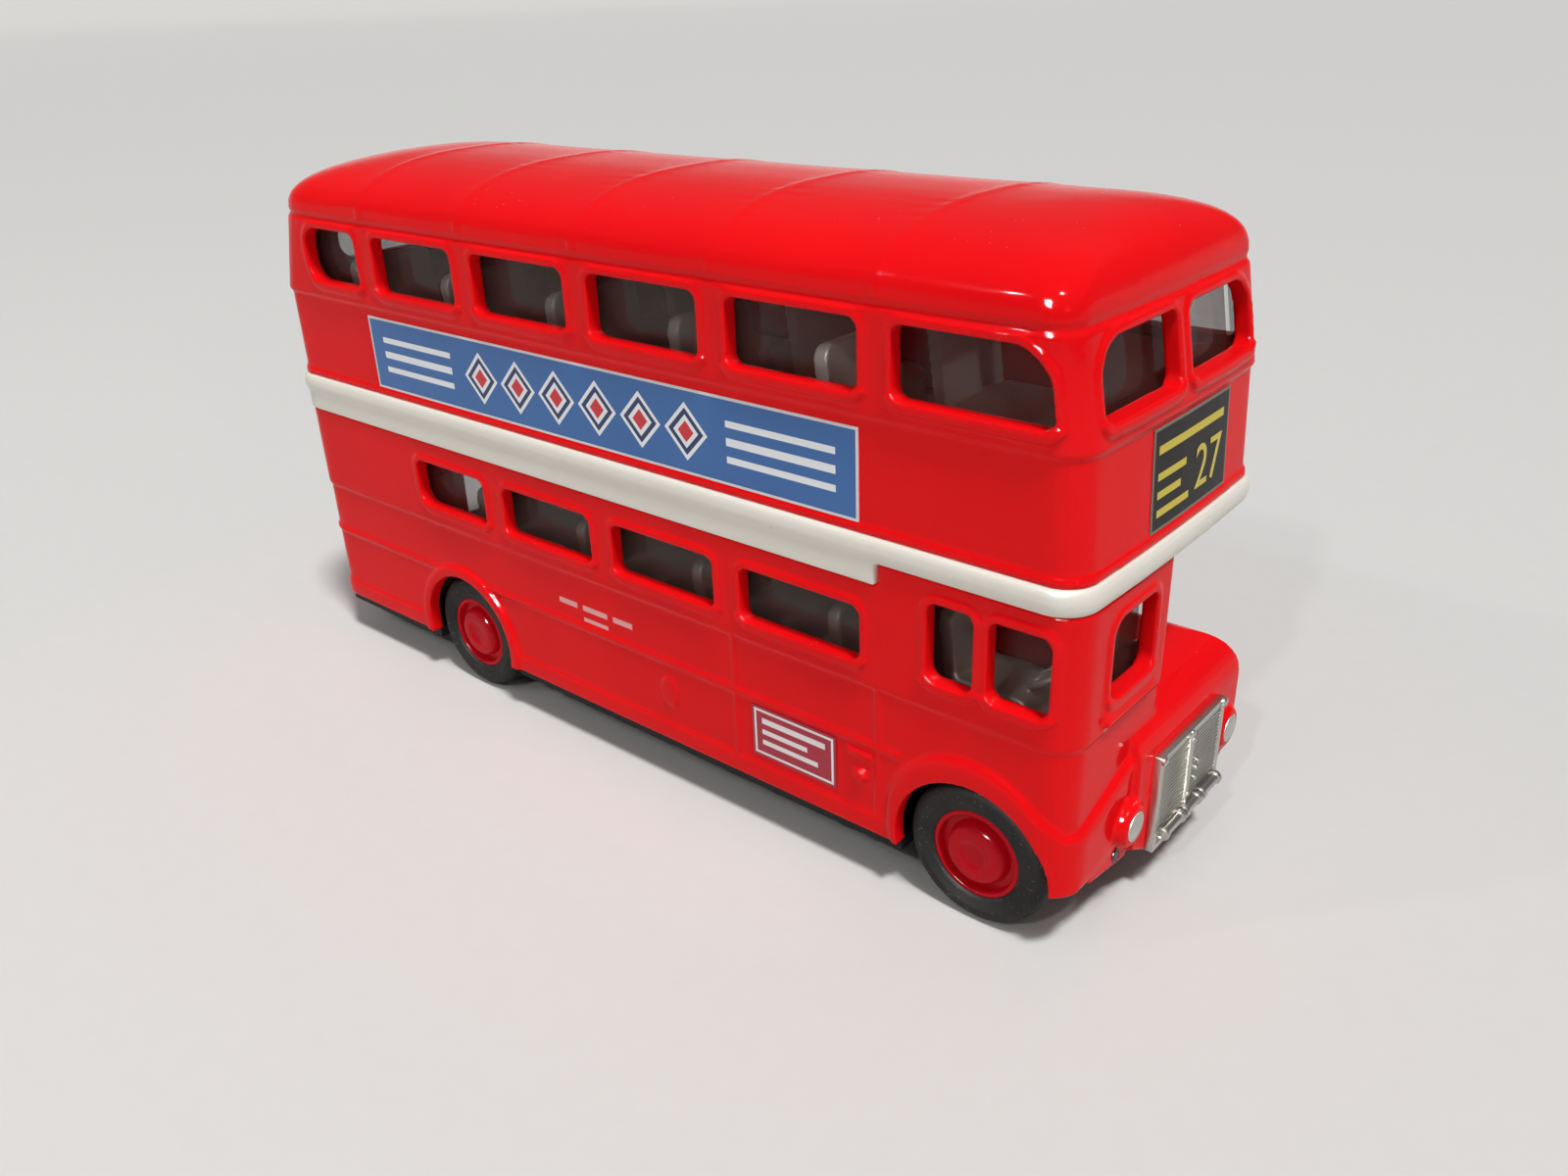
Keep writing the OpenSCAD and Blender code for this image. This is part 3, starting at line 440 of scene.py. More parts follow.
@dataclass(frozen=True)
class Sticker:
    """A printed sticker between two corners, with the grain of its paper."""

    name: str
    low: Corner
    high: Corner
    gloss: float = 0.5
    grain_size: float = 0.0009
    grain_roughness: float = 0.15
    grain_bump: float = 0.05
    roughness: float = 0.3

    def grain(self, s: Shader) -> Signal:
        """Grain of the paper."""
        return s.noise(self.grain_size, 2.0)

    def size(self, axis: int) -> float:
        """Length of the sticker along an axis, in metres."""
        return self.high[axis] - self.low[axis]

    def margin(self, u: Signal, v: Signal, axis: int, edge: float) -> Signal:
        """One further than so many millimetres from every edge, else nought; u follows the axis."""
        edge *= MM
        return u.between(edge, self.size(axis) - edge) * v.between(edge, self.size(2) - edge)

    def finish(self, s: Shader, colour: Signal, grain: Signal) -> bpy.types.Material:
        """Close the sticker's shader over its colour."""
        rough = grain * self.grain_roughness + self.roughness
        return s.surface({
            "Base Color": colour, "Roughness": rough, "IOR": PAINT_IOR, "Specular IOR Level": self.gloss,
            "Normal": s.bump(grain, self.grain_bump, SHEET_DEPTH)})


@dataclass(frozen=True)
class SidePrint(Sticker):
    """Long sticker: blue ground, pale edge, a middle row of lozenges and bars at both ends."""

    ground: Colour = (0.03, 0.125, 0.36)
    ground_shade: Colour = (0.036, 0.14, 0.39)
    pale: Colour = (0.8, 0.82, 0.84)
    red: Colour = (0.62, 0.02, 0.03)
    navy: Colour = (0.015, 0.03, 0.12)
    rim: Colour = (0.7, 0.66, 0.68)
    rim_w: float = 0.28 * MM
    pitch: float = 6.6 * MM
    reach: float = 19.8 * MM
    bar_gap: float = 2.2 * MM
    bar_margin: float = 2.6 * MM
    bar_rows: Steps = ((0.0, 0.42), (1.5, 2.2))
    cloud_size: float = 0.02
    cloud_edge: Span = (0.3, 0.7)
    lozenges: Steps = ((3.0, 3.1), (2.45, 2.5), (1.75, 1.8), (1.1, 1.15))

    def build(self) -> bpy.types.Material:
        """Make the material."""
        s = Shader(self.name)
        x, _, z = s.parts(s.place())
        half_x, half_z = self.size(0) / 2, self.size(2) / 2
        u = x - (self.low[0] + half_x)
        v = abs(z - (self.low[2] + half_z))
        grain = self.grain(s)
        colour = s.mix(s.noise(self.cloud_size, 2.0).ease(*self.cloud_edge), self.ground, self.ground_shade)
        row = abs(u).below(self.reach)
        beat = abs(s.math("FRACT", u / self.pitch) - 0.5) * self.pitch
        for (width, height), ink in zip(self.lozenges, (self.pale, self.navy, self.pale, self.red)):
            inside = (beat / (width * MM) + v / (height * MM)).below(1.0)
            colour = s.mix(row * inside, colour, ink)
        ends = abs(u).between(self.reach + self.bar_gap, half_x - self.bar_margin)
        for low, high in self.bar_rows:
            colour = s.mix(ends * v.between(low * MM, high * MM), colour, self.pale)
        edge = s.math("MAXIMUM", abs(u).above(half_x - self.rim_w), v.above(half_z - self.rim_w))
        return self.finish(s, s.mix(edge, colour, self.rim), grain)


@dataclass(frozen=True)
class BlindPrint(Sticker):
    """Front sticker: black ground, grey edge and plain yellow bars beside the number."""

    gloss: float = 0.15
    ground: Colour = (0.008, 0.007, 0.007)
    ground_shade: Colour = (0.014, 0.013, 0.012)
    rim: Colour = (0.2, 0.17, 0.14)
    rim_w: float = 0.25
    ink: Colour = (0.62, 0.5, 0.06)
    bars: tuple[Bar, ...] = ((1.0, 7.4, 1.3, 2.0), (1.0, 5.6, 3.0, 3.7), (1.0, 6.6, 4.7, 5.4),
                             (1.0, 14.6, 7.1, 7.9))

    def build(self) -> bpy.types.Material:
        """Make the material."""
        s = Shader(self.name)
        _, y, z = s.parts(s.place())
        u, v = y - self.low[1], z - self.low[2]
        grain = self.grain(s)
        colour = s.mix(grain.ease(*INK_EDGE), self.ground, self.ground_shade)
        for bar in self.bars:
            colour = s.mix(s.inside(u, v, bar), colour, self.ink)
        edge = 1.0 - self.margin(u, v, 1, self.rim_w)
        return self.finish(s, s.mix(edge, colour, self.rim), grain)


@dataclass(frozen=True)
class NoticePrint(Sticker):
    """Small sticker: crimson ground, white outline and plain white bars."""

    ground: Colour = (0.36, 0.008, 0.03)
    ground_shade: Colour = (0.42, 0.01, 0.035)
    pale: Colour = (0.78, 0.74, 0.74)
    outline: Span = (0.3, 0.6)
    bars: tuple[Bar, ...] = ((1.4, 10.0, 4.2, 4.9), (1.4, 7.6, 2.9, 3.5), (1.4, 9.0, 1.6, 2.2))

    def build(self) -> bpy.types.Material:
        """Make the material."""
        s = Shader(self.name)
        x, _, z = s.parts(s.place())
        u, v = x - self.low[0], z - self.low[2]
        grain = self.grain(s)
        colour = s.mix(grain.ease(*INK_EDGE), self.ground, self.ground_shade)
        outer, inner = (self.margin(u, v, 0, edge) for edge in self.outline)
        colour = s.mix(outer - inner, colour, self.pale)
        for bar in self.bars:
            colour = s.mix(s.inside(u, v, bar), colour, self.pale)
        return self.finish(s, colour, grain)


class Bench:
    """Hand tools: each drives Blender's own operators on the piece in hand."""

    @staticmethod
    def clear() -> None:
        """Leave edit mode and put every object down."""
        if bpy.context.mode != "OBJECT":
            bpy.ops.object.mode_set(mode="OBJECT")
        bpy.ops.object.select_all(action="DESELECT")

    @classmethod
    def take(cls, *pieces: bpy.types.Object) -> None:
        """Select these pieces alone, the first one active."""
        cls.clear()
        for piece in pieces:
            piece.select_set(True)
        bpy.context.view_layer.objects.active = pieces[0]

    @classmethod
    def settle(cls, name: str) -> bpy.types.Object:
        """Name the new primitive and put its place into its mesh."""
        piece = bpy.context.object
        piece.name = piece.data.name = name
        cls.take(piece)
        bpy.ops.object.transform_apply(location=True, rotation=True, scale=True)
        return piece

    @classmethod
    def block(cls, name: str, low: Corner, high: Corner) -> bpy.types.Object:
        """Cube from one corner to the other, in millimetres."""
        cls.clear()
        low_at, high_at = Vector(low) * MM, Vector(high) * MM
        bpy.ops.mesh.primitive_cube_add(size=1.0, location=(low_at + high_at) / 2, scale=high_at - low_at)
        return cls.settle(name)

    @classmethod
    def drum(cls, name: str, radius: float, low: Corner, high: Corner, sides: int = 48) -> bpy.types.Object:
        """Cylinder between two points, in millimetres.

        Args:
            name: Name of the piece.
            radius: Radius of the cylinder.
            low: Middle of one end.
            high: Middle of the other end.
            sides: Sides of the round.

        Returns:
            The new piece.
        """
        cls.clear()
        start, end = Vector(low) * MM, Vector(high) * MM
        turn = (end - start).to_track_quat("Z", "Y").to_euler()
        bpy.ops.mesh.primitive_cylinder_add(vertices=sides, radius=radius * MM, depth=(end - start).length,
                                            location=(start + end) / 2, rotation=turn)
        return cls.settle(name)

    @classmethod
    def edit(cls, piece: bpy.types.Object, kind: str) -> bmesh.types.BMesh:
        """Enter edit mode on a piece with nothing selected.

        Args:
            piece: The piece to edit.
            kind: Kind of element to select, as Blender names it.

        Returns:
            The mesh in edit mode.
        """
        cls.take(piece)
        bpy.ops.object.mode_set(mode="EDIT")
        bpy.ops.mesh.select_mode(type=kind)
        bpy.ops.mesh.select_all(action="DESELECT")
        return bmesh.from_edit_mesh(piece.data)

    @classmethod
    def pick_faces(cls, piece: bpy.types.Object, test: Test) -> None:
        """Enter edit mode with the faces that pass a test of middle and normal selected."""
        for face in cls.edit(piece, "FACE").faces:
            face.select_set(test(face.calc_center_median(), face.normal))
        bmesh.update_edit_mesh(piece.data)

    @classmethod
    def pick_edges(cls, piece: bpy.types.Object, test: Test) -> None:
        """Enter edit mode with the edges whose two ends pass a test selected."""
        for edge in cls.edit(piece, "EDGE").edges:
            edge.select_set(test(edge.verts[0].co, edge.verts[1].co))
        bmesh.update_edit_mesh(piece.data)

    @classmethod
    def pick_end(cls, piece: bpy.types.Object, way: Vector) -> None:
        """Enter edit mode with the faces that look one way selected."""
        cls.pick_faces(piece, lambda middle, normal: normal.dot(way) > FACING)

    @staticmethod
    def steps(moves: Iterable[tuple[float, float]], way: Vector) -> None:
        """Inset the picked face and push it, step by step.

        Args:
            moves: Pairs of inset and push, in millimetres.
            way: Direction of a positive push.
        """
        for inset, push in moves:
            bpy.ops.mesh.inset(thickness=inset * MM, use_even_offset=True)
            bpy.ops.transform.translate(value=way * push * MM)

    @classmethod
    def modify(cls, piece: bpy.types.Object, kind: str, **settings: object) -> None:
        """Add one modifier with its settings and apply it."""
        cls.take(piece)
        modifier = piece.modifiers.new(kind.lower(), kind)
        for key, value in settings.items():
            setattr(modifier, key, value)
        bpy.ops.object.modifier_apply(modifier=modifier.name)

    @classmethod
    def soften(cls, piece: bpy.types.Object, width: float, segments: int = 3, angle: float = 35) -> None:
        """Round the sharp edges."""
        cls.modify(piece, "BEVEL", width=width * MM, segments=segments, limit_method="ANGLE",
                   angle_limit=math.radians(angle), use_clamp_overlap=True)

    @classmethod
    def join(cls, name: str, pieces: Sequence[bpy.types.Object]) -> bpy.types.Object:
        """Join several pieces into the first one."""
        cls.take(*pieces)
        if len(pieces) > 1:
            bpy.ops.object.join()
        piece = bpy.context.object
        piece.name = piece.data.name = name
        return piece

    @classmethod
    def smooth(cls, piece: bpy.types.Object, angle: float = 40) -> None:
        """Merge doubles, turn the faces outwards and shade them smooth up to an angle."""
        cls.take(piece)
        bpy.ops.object.mode_set(mode="EDIT")
        bpy.ops.mesh.select_all(action="SELECT")
        bpy.ops.mesh.remove_doubles(threshold=WELD)
        bpy.ops.mesh.normals_make_consistent(inside=False)
        bpy.ops.object.mode_set(mode="OBJECT")
        bpy.ops.object.shade_smooth_by_angle(angle=math.radians(angle))

    @staticmethod
    def dress(piece: bpy.types.Object, finish: bpy.types.Material) -> None:
        """Give a piece one finish."""
        piece.data.materials.clear()
        piece.data.materials.append(finish)

    @classmethod
    def dress_nodes(cls, finish: bpy.types.Material, *nodes: str) -> None:
        """Give nodes of the frame one finish and report them."""
        for node in nodes:
            cls.dress(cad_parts[node], finish)
            LOG.info("%s: %s", node, finish.name)

    @classmethod
    def hand_over(cls, piece: bpy.types.Object, finish: bpy.types.Material, body: Body, slot: Slot,
                  *nodes: str) -> None:
        """Dress a finished piece, set it on its body and report it.

        Args:
            piece: The finished piece.
            finish: Its material.
            body: Body that it rides on.
            slot: Slot of the record that it belongs to; not used.
            nodes: Nodes of the frame that it stands for.
        """
        cls.dress(piece, finish)
        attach(piece, body.value)
        if nodes:
            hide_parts(*nodes)
        cls.clear()
        LOG.info("%s: %d faces on %s", piece.name, len(piece.data.polygons), body.value)


@dataclass
class CastShell:
    """A casting or moulding of the frame with the soft edges that paint and tooling leave."""

    node: str
    name: str
    voxel: float = 0.2
    passes: int = 4
    faces: int = 190000
    relief: Sequence[bpy.types.Object] = ()
    calm_above: Optional[float] = None
    calm_passes: int = 24
    quick_voxels: float = 2.0
    quick_passes: int = 2
    relax: float = 0.5

    def skin(self) -> bpy.types.Object:
        """Copy the node's mesh and join its relief to it."""
        Bench.clear()
        piece = bpy.data.objects.new(self.name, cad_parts[self.node].data.copy())
        bpy.context.scene.collection.objects.link(piece)
        Bench.take(piece)
        bpy.ops.object.mode_set(mode="EDIT")
        bpy.ops.mesh.select_all(action="SELECT")
        bpy.ops.mesh.remove_doubles(threshold=WELD)
        bpy.ops.object.mode_set(mode="OBJECT")
        return Bench.join(self.name, [piece, *self.relief])

    def calm(self, piece: bpy.types.Object) -> None:
        """Relax the skin further above a height."""
        group = piece.vertex_groups.new(name="calm")
        group.add([v.index for v in piece.data.vertices if v.co.z > self.calm_above * MM], 1.0, "REPLACE")
        Bench.modify(piece, "SMOOTH", factor=self.relax, iterations=self.calm_passes,
                     vertex_group=group.name)
        piece.vertex_groups.clear()

    def build(self) -> bpy.types.Object:
        """Close the node's mesh and its relief as one skin, and relax the skin.

        Returns:
            The softened piece.
        """
        piece = self.skin()
        voxel = self.voxel * 1.0
        Bench.modify(piece, "REMESH", mode="VOXEL", voxel_size=voxel * MM, use_smooth_shade=True)
        passes = self.passes
        Bench.modify(piece, "SMOOTH", factor=self.relax, iterations=passes)
        share = self.faces / (2 * len(piece.data.polygons))
        if share < 1:
            Bench.modify(piece, "DECIMATE", ratio=share)
        if self.calm_above is not None:
            self.calm(piece)
        Bench.take(piece)
        bpy.ops.object.shade_smooth()
        return piece


@dataclass
class Castings:
    """The painted upper and lower bodies."""

    enamel: Enamel = Enamel("red_enamel", (0.8, 0.004, 0.006), (0.74, 0.0035, 0.006))
    side_enamel: Enamel = Enamel("red_enamel_side", (0.8, 0.004, 0.006), (0.74, 0.0035, 0.006),
                                 bars=((-9.6, -6.4, 18.6, 19.3), (-5.4, -1.2, 18.6, 19.3),
                                       (-0.2, 3.0, 18.6, 19.3), (-5.4, -1.2, 17.2, 17.7)))
    roof_z: float = 61.9
    wall_y: float = -17.5
    joints: Span = (18.8, 37.8)
    joint_half: float = 0.2
    joint_y: float = -18.12
    joint_z: Span = (8.0, 23.0)
    boss: Corner = (35.7, -18.5, 12.3)
    boss_r: float = 0.75
    boss_root: float = -17.4
    ledge_x: Span = (-1.5, 1.3)
    ledge_y: float = -18.25
    ledge_z: Span = (2.3, 2.8)
    apron: tuple[Corner, Corner] = ((57.4, -13.0, 5.5), (59.15, -5.4, 8.2))
    apron_rise: float = 1.3
    near: float = 0.1

    def nose_edge(self) -> bpy.types.Object:
        """Low edge of the nose beside the radiator, higher towards the wing's side."""
        low, high = self.apron
        piece = Bench.block("apron", low, high)
        Bench.pick_edges(piece, lambda a, b: max(a.y, b.y) < (low[1] + self.near) * MM
                         and max(a.z, b.z) < (low[2] + self.near) * MM)
        bpy.ops.transform.translate(value=(0, 0, self.apron_rise * MM))
        Bench.clear()
        return piece

    def relief(self) -> list[bpy.types.Object]:
        """Fine relief: two upright joints, a small boss, the ledge above it and the nose's low edge."""
        x, y, z = self.boss
        made = [Bench.block("joint", (at - self.joint_half, self.joint_y, self.joint_z[0]),
                            (at + self.joint_half, self.wall_y, self.joint_z[1])) for at in self.joints]
        made.append(Bench.drum("boss", self.boss_r, (x, self.boss_root, z), (x, y, z), sides=32))
        made.append(Bench.block("ledge", (x + self.ledge_x[0], self.ledge_y, z + self.ledge_z[0]),
                                (x + self.ledge_x[1], self.wall_y, z + self.ledge_z[1])))
        made.append(self.nose_edge())
        return made

    def build(self) -> None:
        """Make both castings."""
        upper = CastShell("upper_body", "upper_casting", calm_above=self.roof_z).build()
        Bench.hand_over(upper, self.enamel.build(), Body.BUS, Slot.BODY, "upper_body")
        lower = CastShell("lower_body", "lower_casting", relief=self.relief()).build()
        Bench.hand_over(lower, self.side_enamel.build(), Body.BUS, Slot.BODY, "lower_body")


@dataclass
class Mouldings:
    """The cream deck band with its benches, the lower fittings and the clear windows."""

    cream: Moulding = Moulding("cream_plastic", (0.74, 0.71, 0.63), (0.7, 0.67, 0.59))
    beige: Moulding = Moulding("beige_plastic", (0.5, 0.45, 0.37), (0.45, 0.4, 0.33), 0.42)
    clear: ClearMoulding = ClearMoulding("clear_plastic", (0.06, 0.05, 0.042), 0.05)

    def build(self) -> None:
        """Make the mouldings and dress the clear ones."""
        Bench.hand_over(CastShell("deck_moulding", "deck_band", passes=2).build(), self.cream.build(),
                        Body.BUS, Slot.BAND, "deck_moulding")
        Bench.hand_over(CastShell("lower_interior", "saloon_fittings", voxel=0.24, passes=3).build(),
                        self.beige.build(), Body.BUS, Slot.INTERIOR, "lower_interior")
        Bench.dress_nodes(self.clear.build(), "upper_glazing", "lower_glazing")


@dataclass
class Radiator:
    """The plated grille with its ribs, studs and segmented bumper."""

    width: Span = (-2.8, 12.2)
    top: float = 16.2
    back: float = 59.85
    front: float = 60.75
    ribs: int = 22
    frame_w: float = 0.7
    frame_gap: float = 0.05
    frame_slope: float = 0.06
    edge_r: float = 0.12
    rib_depth: float = 0.32
    rib_root: float = 0.1
    rib_edge: float = 0.07
    rib_share: Span = (0.2, 0.75)
    rib_sink: float = 0.08
    bar_w: float = 0.7
    bar_shift: float = 0.5
    bar_rise: float = 0.2
    bar_edge: float = 0.2
    bar_ends: Span = (0.3, 0.2)
    beads: Steps = ((4.2, 15.0), (5.9, 11.6), (5.75, 10.8), (5.55, 9.7), (4.2, 8.4))
    bead_size: Span = (0.3, 0.38)
    stud_size: Span = (0.5, 0.3)
    stud_inset: float = 0.45
    bead_root: float = 0.1
    bead_crown: Steps = ((0.2, 0.2), (0.3, 0.12))
    bumper_z: float = 6.9
    bumper_r: float = 0.62
    tubes: Steps = ((-1.85, 2.5), (2.9, 6.5), (6.9, 11.25))
    tube_end: Steps = ((0.16, 0.0), (0.02, -0.12))
    collar_rise: float = 0.16
    collar_half: float = 0.28
    collar_inset: float = 0.34
    arms: Span = (1.2, 8.2)
    arm_root: float = 60.3
    arm_half: Span = (0.6, 0.3)
    plating: Plating = Plating("dulled_plating", (0.5, 0.485, 0.45), (0.45, 0.435, 0.4), 0.24)

    def plate(self, z0: float) -> bpy.types.Object:
        """Back plate with a raised frame round a sunken field."""
        piece = Bench.block("plate", (self.back, self.width[0], z0), (self.front, self.width[1], self.top))
        Bench.pick_end(piece, FORWARD)
        Bench.steps(((self.frame_w, 0.0), (self.frame_slope, -self.rib_depth - self.rib_sink)), FORWARD)
        Bench.clear()
        Bench.soften(piece, self.edge_r)
        return piece

    def rib_field(self, y0: float, y1: float, z0: float, z1: float) -> bpy.types.Object:
        """One half of the fine level ribs."""
        pitch = (z1 - z0) / self.ribs
        root = self.front - self.rib_depth - self.rib_root
        rib = Bench.block("rib", (root, y0, z0 + self.rib_share[0] * pitch),
                          (self.front - self.rib_sink, y1, z0 + self.rib_share[1] * pitch))
        Bench.soften(rib, self.rib_edge, segments=2)
        Bench.modify(rib, "ARRAY", count=self.ribs, use_relative_offset=False, use_constant_offset=True,
                     constant_offset_displace=(0, 0, pitch * MM))
        return rib

    def bead(self, y: float, z: float, radius: float, length: float) -> bpy.types.Object:
        """Small turned knob that faces forward."""
        root = self.front - self.bead_root
        piece = Bench.drum("bead", radius, (root, y, z), (root + length, y, z), sides=24)
        Bench.pick_end(piece, FORWARD)
        Bench.steps(((radius * inset, radius * push) for inset, push in self.bead_crown), FORWARD)
        Bench.clear()
        return piece

    def tube(self, y0: float, y1: float, x: float) -> bpy.types.Object:
        """One length of the bumper with a collar at both ends."""
        z = self.bumper_z
        piece = Bench.drum("tube", self.bumper_r, (x, y0, z), (x, y1, z), sides=32)
        for sign in (-1, 1):
            way = Vector((0, sign, 0))
            Bench.pick_end(piece, way)
            Bench.steps(self.tube_end, way)
            Bench.clear()
        collars = [Bench.drum("collar", self.bumper_r + self.collar_rise, (x, y - self.collar_half, z),
                              (x, y + self.collar_half, z), sides=32)
                   for y in (y0 + self.collar_inset, y1 - self.collar_inset)]
        for collar in collars:
            Bench.soften(collar, self.edge_r, segments=2)
        return Bench.join("tube", [piece, *collars])

    def middle_bar(self, y: float, z0: float) -> bpy.types.Object:
        """Upright bar between the two halves of the ribs."""
        bar = Bench.block("bar", (self.back + self.frame_gap, y - self.bar_w / 2, z0 + self.bar_ends[0]),
                          (self.front + self.bar_rise, y + self.bar_w / 2, self.top - self.bar_ends[1]))
        Bench.soften(bar, self.bar_edge)
        return bar

    def arm(self, y: float, x: float) -> bpy.types.Object:
        """Bracket that carries the bumper."""
        wide, tall = self.arm_half
        arm = Bench.block("arm", (self.arm_root, y - wide, self.bumper_z - tall),
                          (x, y + wide, self.bumper_z + tall))
        Bench.soften(arm, self.edge_r, segments=2)
        return arm

    def build(self) -> None:
        """Make the whole plated moulding."""
        low, high = (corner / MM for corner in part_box("grille_and_bumper"))
        (y0, y1), z0, z1 = self.width, low.z, self.top
        middle = (y0 + y1) / 2 - self.bar_shift
        inner = self.frame_w + self.frame_gap
        pieces = [self.plate(z0)]
        for a, b in ((y0 + inner, middle - self.bar_w / 2), (middle + self.bar_w / 2, y1 - inner)):
            pieces.append(self.rib_field(a, b, z0 + inner, z1 - inner))
        pieces.append(self.middle_bar(middle, z0))
        pieces.extend(self.bead(y, z, *self.bead_size) for y, z in self.beads)
        for y in (y0 + self.stud_inset, y1 - self.stud_inset):
            pieces.append(self.bead(y, z1 - self.stud_inset, *self.stud_size))
        x = high.x - self.bumper_r - self.collar_rise
        pieces.extend(self.tube(a, b, x) for a, b in self.tubes)
        pieces.extend(self.arm(y, x) for y in self.arms)
        whole = Bench.join("radiator_and_bumper", pieces)
        Bench.smooth(whole)
        Bench.hand_over(whole, self.plating.build(), Body.BUS, Slot.PLATED, "grille_and_bumper")


@dataclass
class Lamps:
    """Silver lamp lenses on the cast pods, and the small dark lens below the right one."""

    places: tuple[tuple[str, float, float], ...] = (("right", -6.8, 10.5), ("left", 15.5, 10.5))
    face: float = 60.4
    radius: float = 1.55
    crown: float = 0.2
    low_place: Span = (-8.0, 7.2)
    low_radius: float = 0.7
    low_crown: float = 0.1
    ahead: float = 100.0
    root: float = 0.3
    rise: float = 0.12
    rim_share: float = 0.1
    groove: Span = (0.03, -0.06)
    crown_steps: Steps = ((0.18, 0.6), (0.22, 0.3), (0.25, 0.1))
    edge_r: float = 0.06
    silver: Plating = Plating("silver_paint", (0.54, 0.53, 0.5), (0.47, 0.46, 0.43), 0.38)
    dark: Moulding = Moulding("dark_lens", (0.05, 0.022, 0.018), (0.035, 0.018, 0.016), 0.2)

    def seat(self, y: float, z: float) -> float:
        """X of the lower casting's front at a place, in millimetres."""
        casting = bpy.data.objects["lower_casting"]
        hit = casting.ray_cast(Vector((self.ahead, y, z)) * MM, Vector((-1, 0, 0)))
        return hit[1].x / MM

    def lens(self, name: str, at: Corner, radius: float, crown: float) -> bpy.types.Object:
        """Round lens with a rim and a crowned face.

        Args:
            name: Name of the piece.
            at: Middle of its seat, in millimetres.
            radius: Radius over the rim.
            crown: Rise of the crown.

        Returns:
            The lens.
        """
        x, y, z = at
        piece = Bench.drum(name, radius, (x - self.root, y, z), (x + self.rise, y, z))
        Bench.pick_end(piece, FORWARD)
        Bench.steps(((radius * self.rim_share, 0.0), self.groove), FORWARD)
        Bench.steps(((radius * inset, crown * push) for inset, push in self.crown_steps), FORWARD)
        Bench.clear()
        Bench.soften(piece, self.edge_r, segments=2)
        Bench.smooth(piece, angle=50)
        return piece

    def build(self) -> None:
        """Make the lamps."""
        silver = self.silver.build()
        for side, y, z in self.places:
            lens = self.lens(f"lamp_{side}", (self.face, y, z), self.radius, self.crown)
            Bench.hand_over(lens, silver, Body.BUS, Slot.PLATED)
        y, z = self.low_place
        spot = self.lens("low_lens", (self.seat(y, z), y, z), self.low_radius, self.low_crown)
        Bench.hand_over(spot, self.dark.build(), Body.BUS, Slot.PLATED)


@dataclass
class Wheel:
    """One wheel: a red hub with a rim, a recess and a dished dome, inside a round-shouldered tyre."""

    name: str
    x: float
    side: Side
    body: Body
    z: float = 7.75
    face: float = 17.2
    tyre_r: float = 7.75
    tyre_w: float = 5.4
    hub_r: float = 4.8
    hub_sink: float = 0.45
    bore_gap: float = 0.2
    shoulder: float = 1.35
    shoulder_steps: int = 7
    slack: float = 0.01
    hub_front: Steps = ((0.1, 0.08), (0.32, 0.02), (0.1, -0.1), (0.05, -0.75), (0.75, -0.02), (0.1, 0.18),
                        (0.12, 0.5), (0.16, 0.3), (0.22, 0.14), (0.35, 0.06), (0.75, 0.02), (0.2, -0.06),
                        (0.2, -0.18), (0.25, -0.08), (0.5, -0.02))
    hub_back: Steps = ((0.9, 0.0), (0.05, 2.2), (1.6, 0.0), (0.05, -2.1))
    tyre_wall: Steps = ((1.75, 0.0), (0.1, -0.1), (0.75, -0.04), (0.15, -0.12), (0.18, -0.16))

    def drum(self, kind: str, radius: float, sink: float, sides: int) -> bpy.types.Object:
        """Drum on the wheel's middle line, its outer end so far behind the wheel's face."""
        sign = self.side.value
        low = (self.x, sign * (self.face - self.tyre_w), self.z)
        high = (self.x, sign * (self.face - sink), self.z)
        return Bench.drum(f"{self.name}_{kind}", radius, low, high, sides)

    def reach(self, at: Vector) -> float:
        """Distance of a point from the wheel's middle line, in metres."""
        return math.hypot(at.x - self.x * MM, at.z - self.z * MM)

    def hub(self) -> bpy.types.Object:
        """Turn the hub from a drum."""
        way = Vector((0, self.side.value, 0))
        piece = self.drum("hub", self.hub_r, self.hub_sink, sides=96)
        Bench.pick_end(piece, way)
        Bench.steps(self.hub_front, way)
        Bench.pick_end(piece, -way)
        Bench.steps(self.hub_back, way)
        Bench.clear()
        Bench.smooth(piece, angle=45)
        return piece

    def tyre(self) -> bpy.types.Object:
        """Shape the tyre from a drum: open it for the hub, round its shoulders, and step its walls."""
        piece = self.drum("tyre", self.tyre_r, 0.0, sides=128)
        for outer in (1, -1):
            way = Vector((0, self.side.value * outer, 0))
            Bench.pick_end(piece, way)
            Bench.steps(self.tyre_wall, way)
        bpy.ops.object.mode_set(mode="OBJECT")
        bore = (self.hub_r + self.bore_gap) * MM
        Bench.pick_faces(piece, lambda middle, normal: self.reach(middle) < 0.5 * bore)
        bpy.ops.mesh.delete(type="FACE")
        Bench.pick_edges(piece, lambda a, b: max(self.reach(a), self.reach(b)) < bore)
        bpy.ops.mesh.bridge_edge_loops()
        rim = (self.tyre_r - self.slack) * MM
        Bench.pick_edges(piece, lambda a, b: abs(a.y - b.y) < WELD
                         and min(self.reach(a), self.reach(b)) > rim)
        bpy.ops.mesh.bevel(offset=self.shoulder * MM, segments=self.shoulder_steps, affect="EDGES")
        Bench.clear()
        Bench.smooth(piece, angle=50)
        return piece

    def build(self, paint: bpy.types.Material, rubber: bpy.types.Material) -> None:
        """Make the wheel's two pieces."""
        node = self.name.removeprefix("wheel_")
        Bench.hand_over(self.hub(), paint, self.body, Slot.HUB, f"hub_{node}")
        Bench.hand_over(self.tyre(), rubber, self.body, Slot.TYRE, f"tyre_{node}")


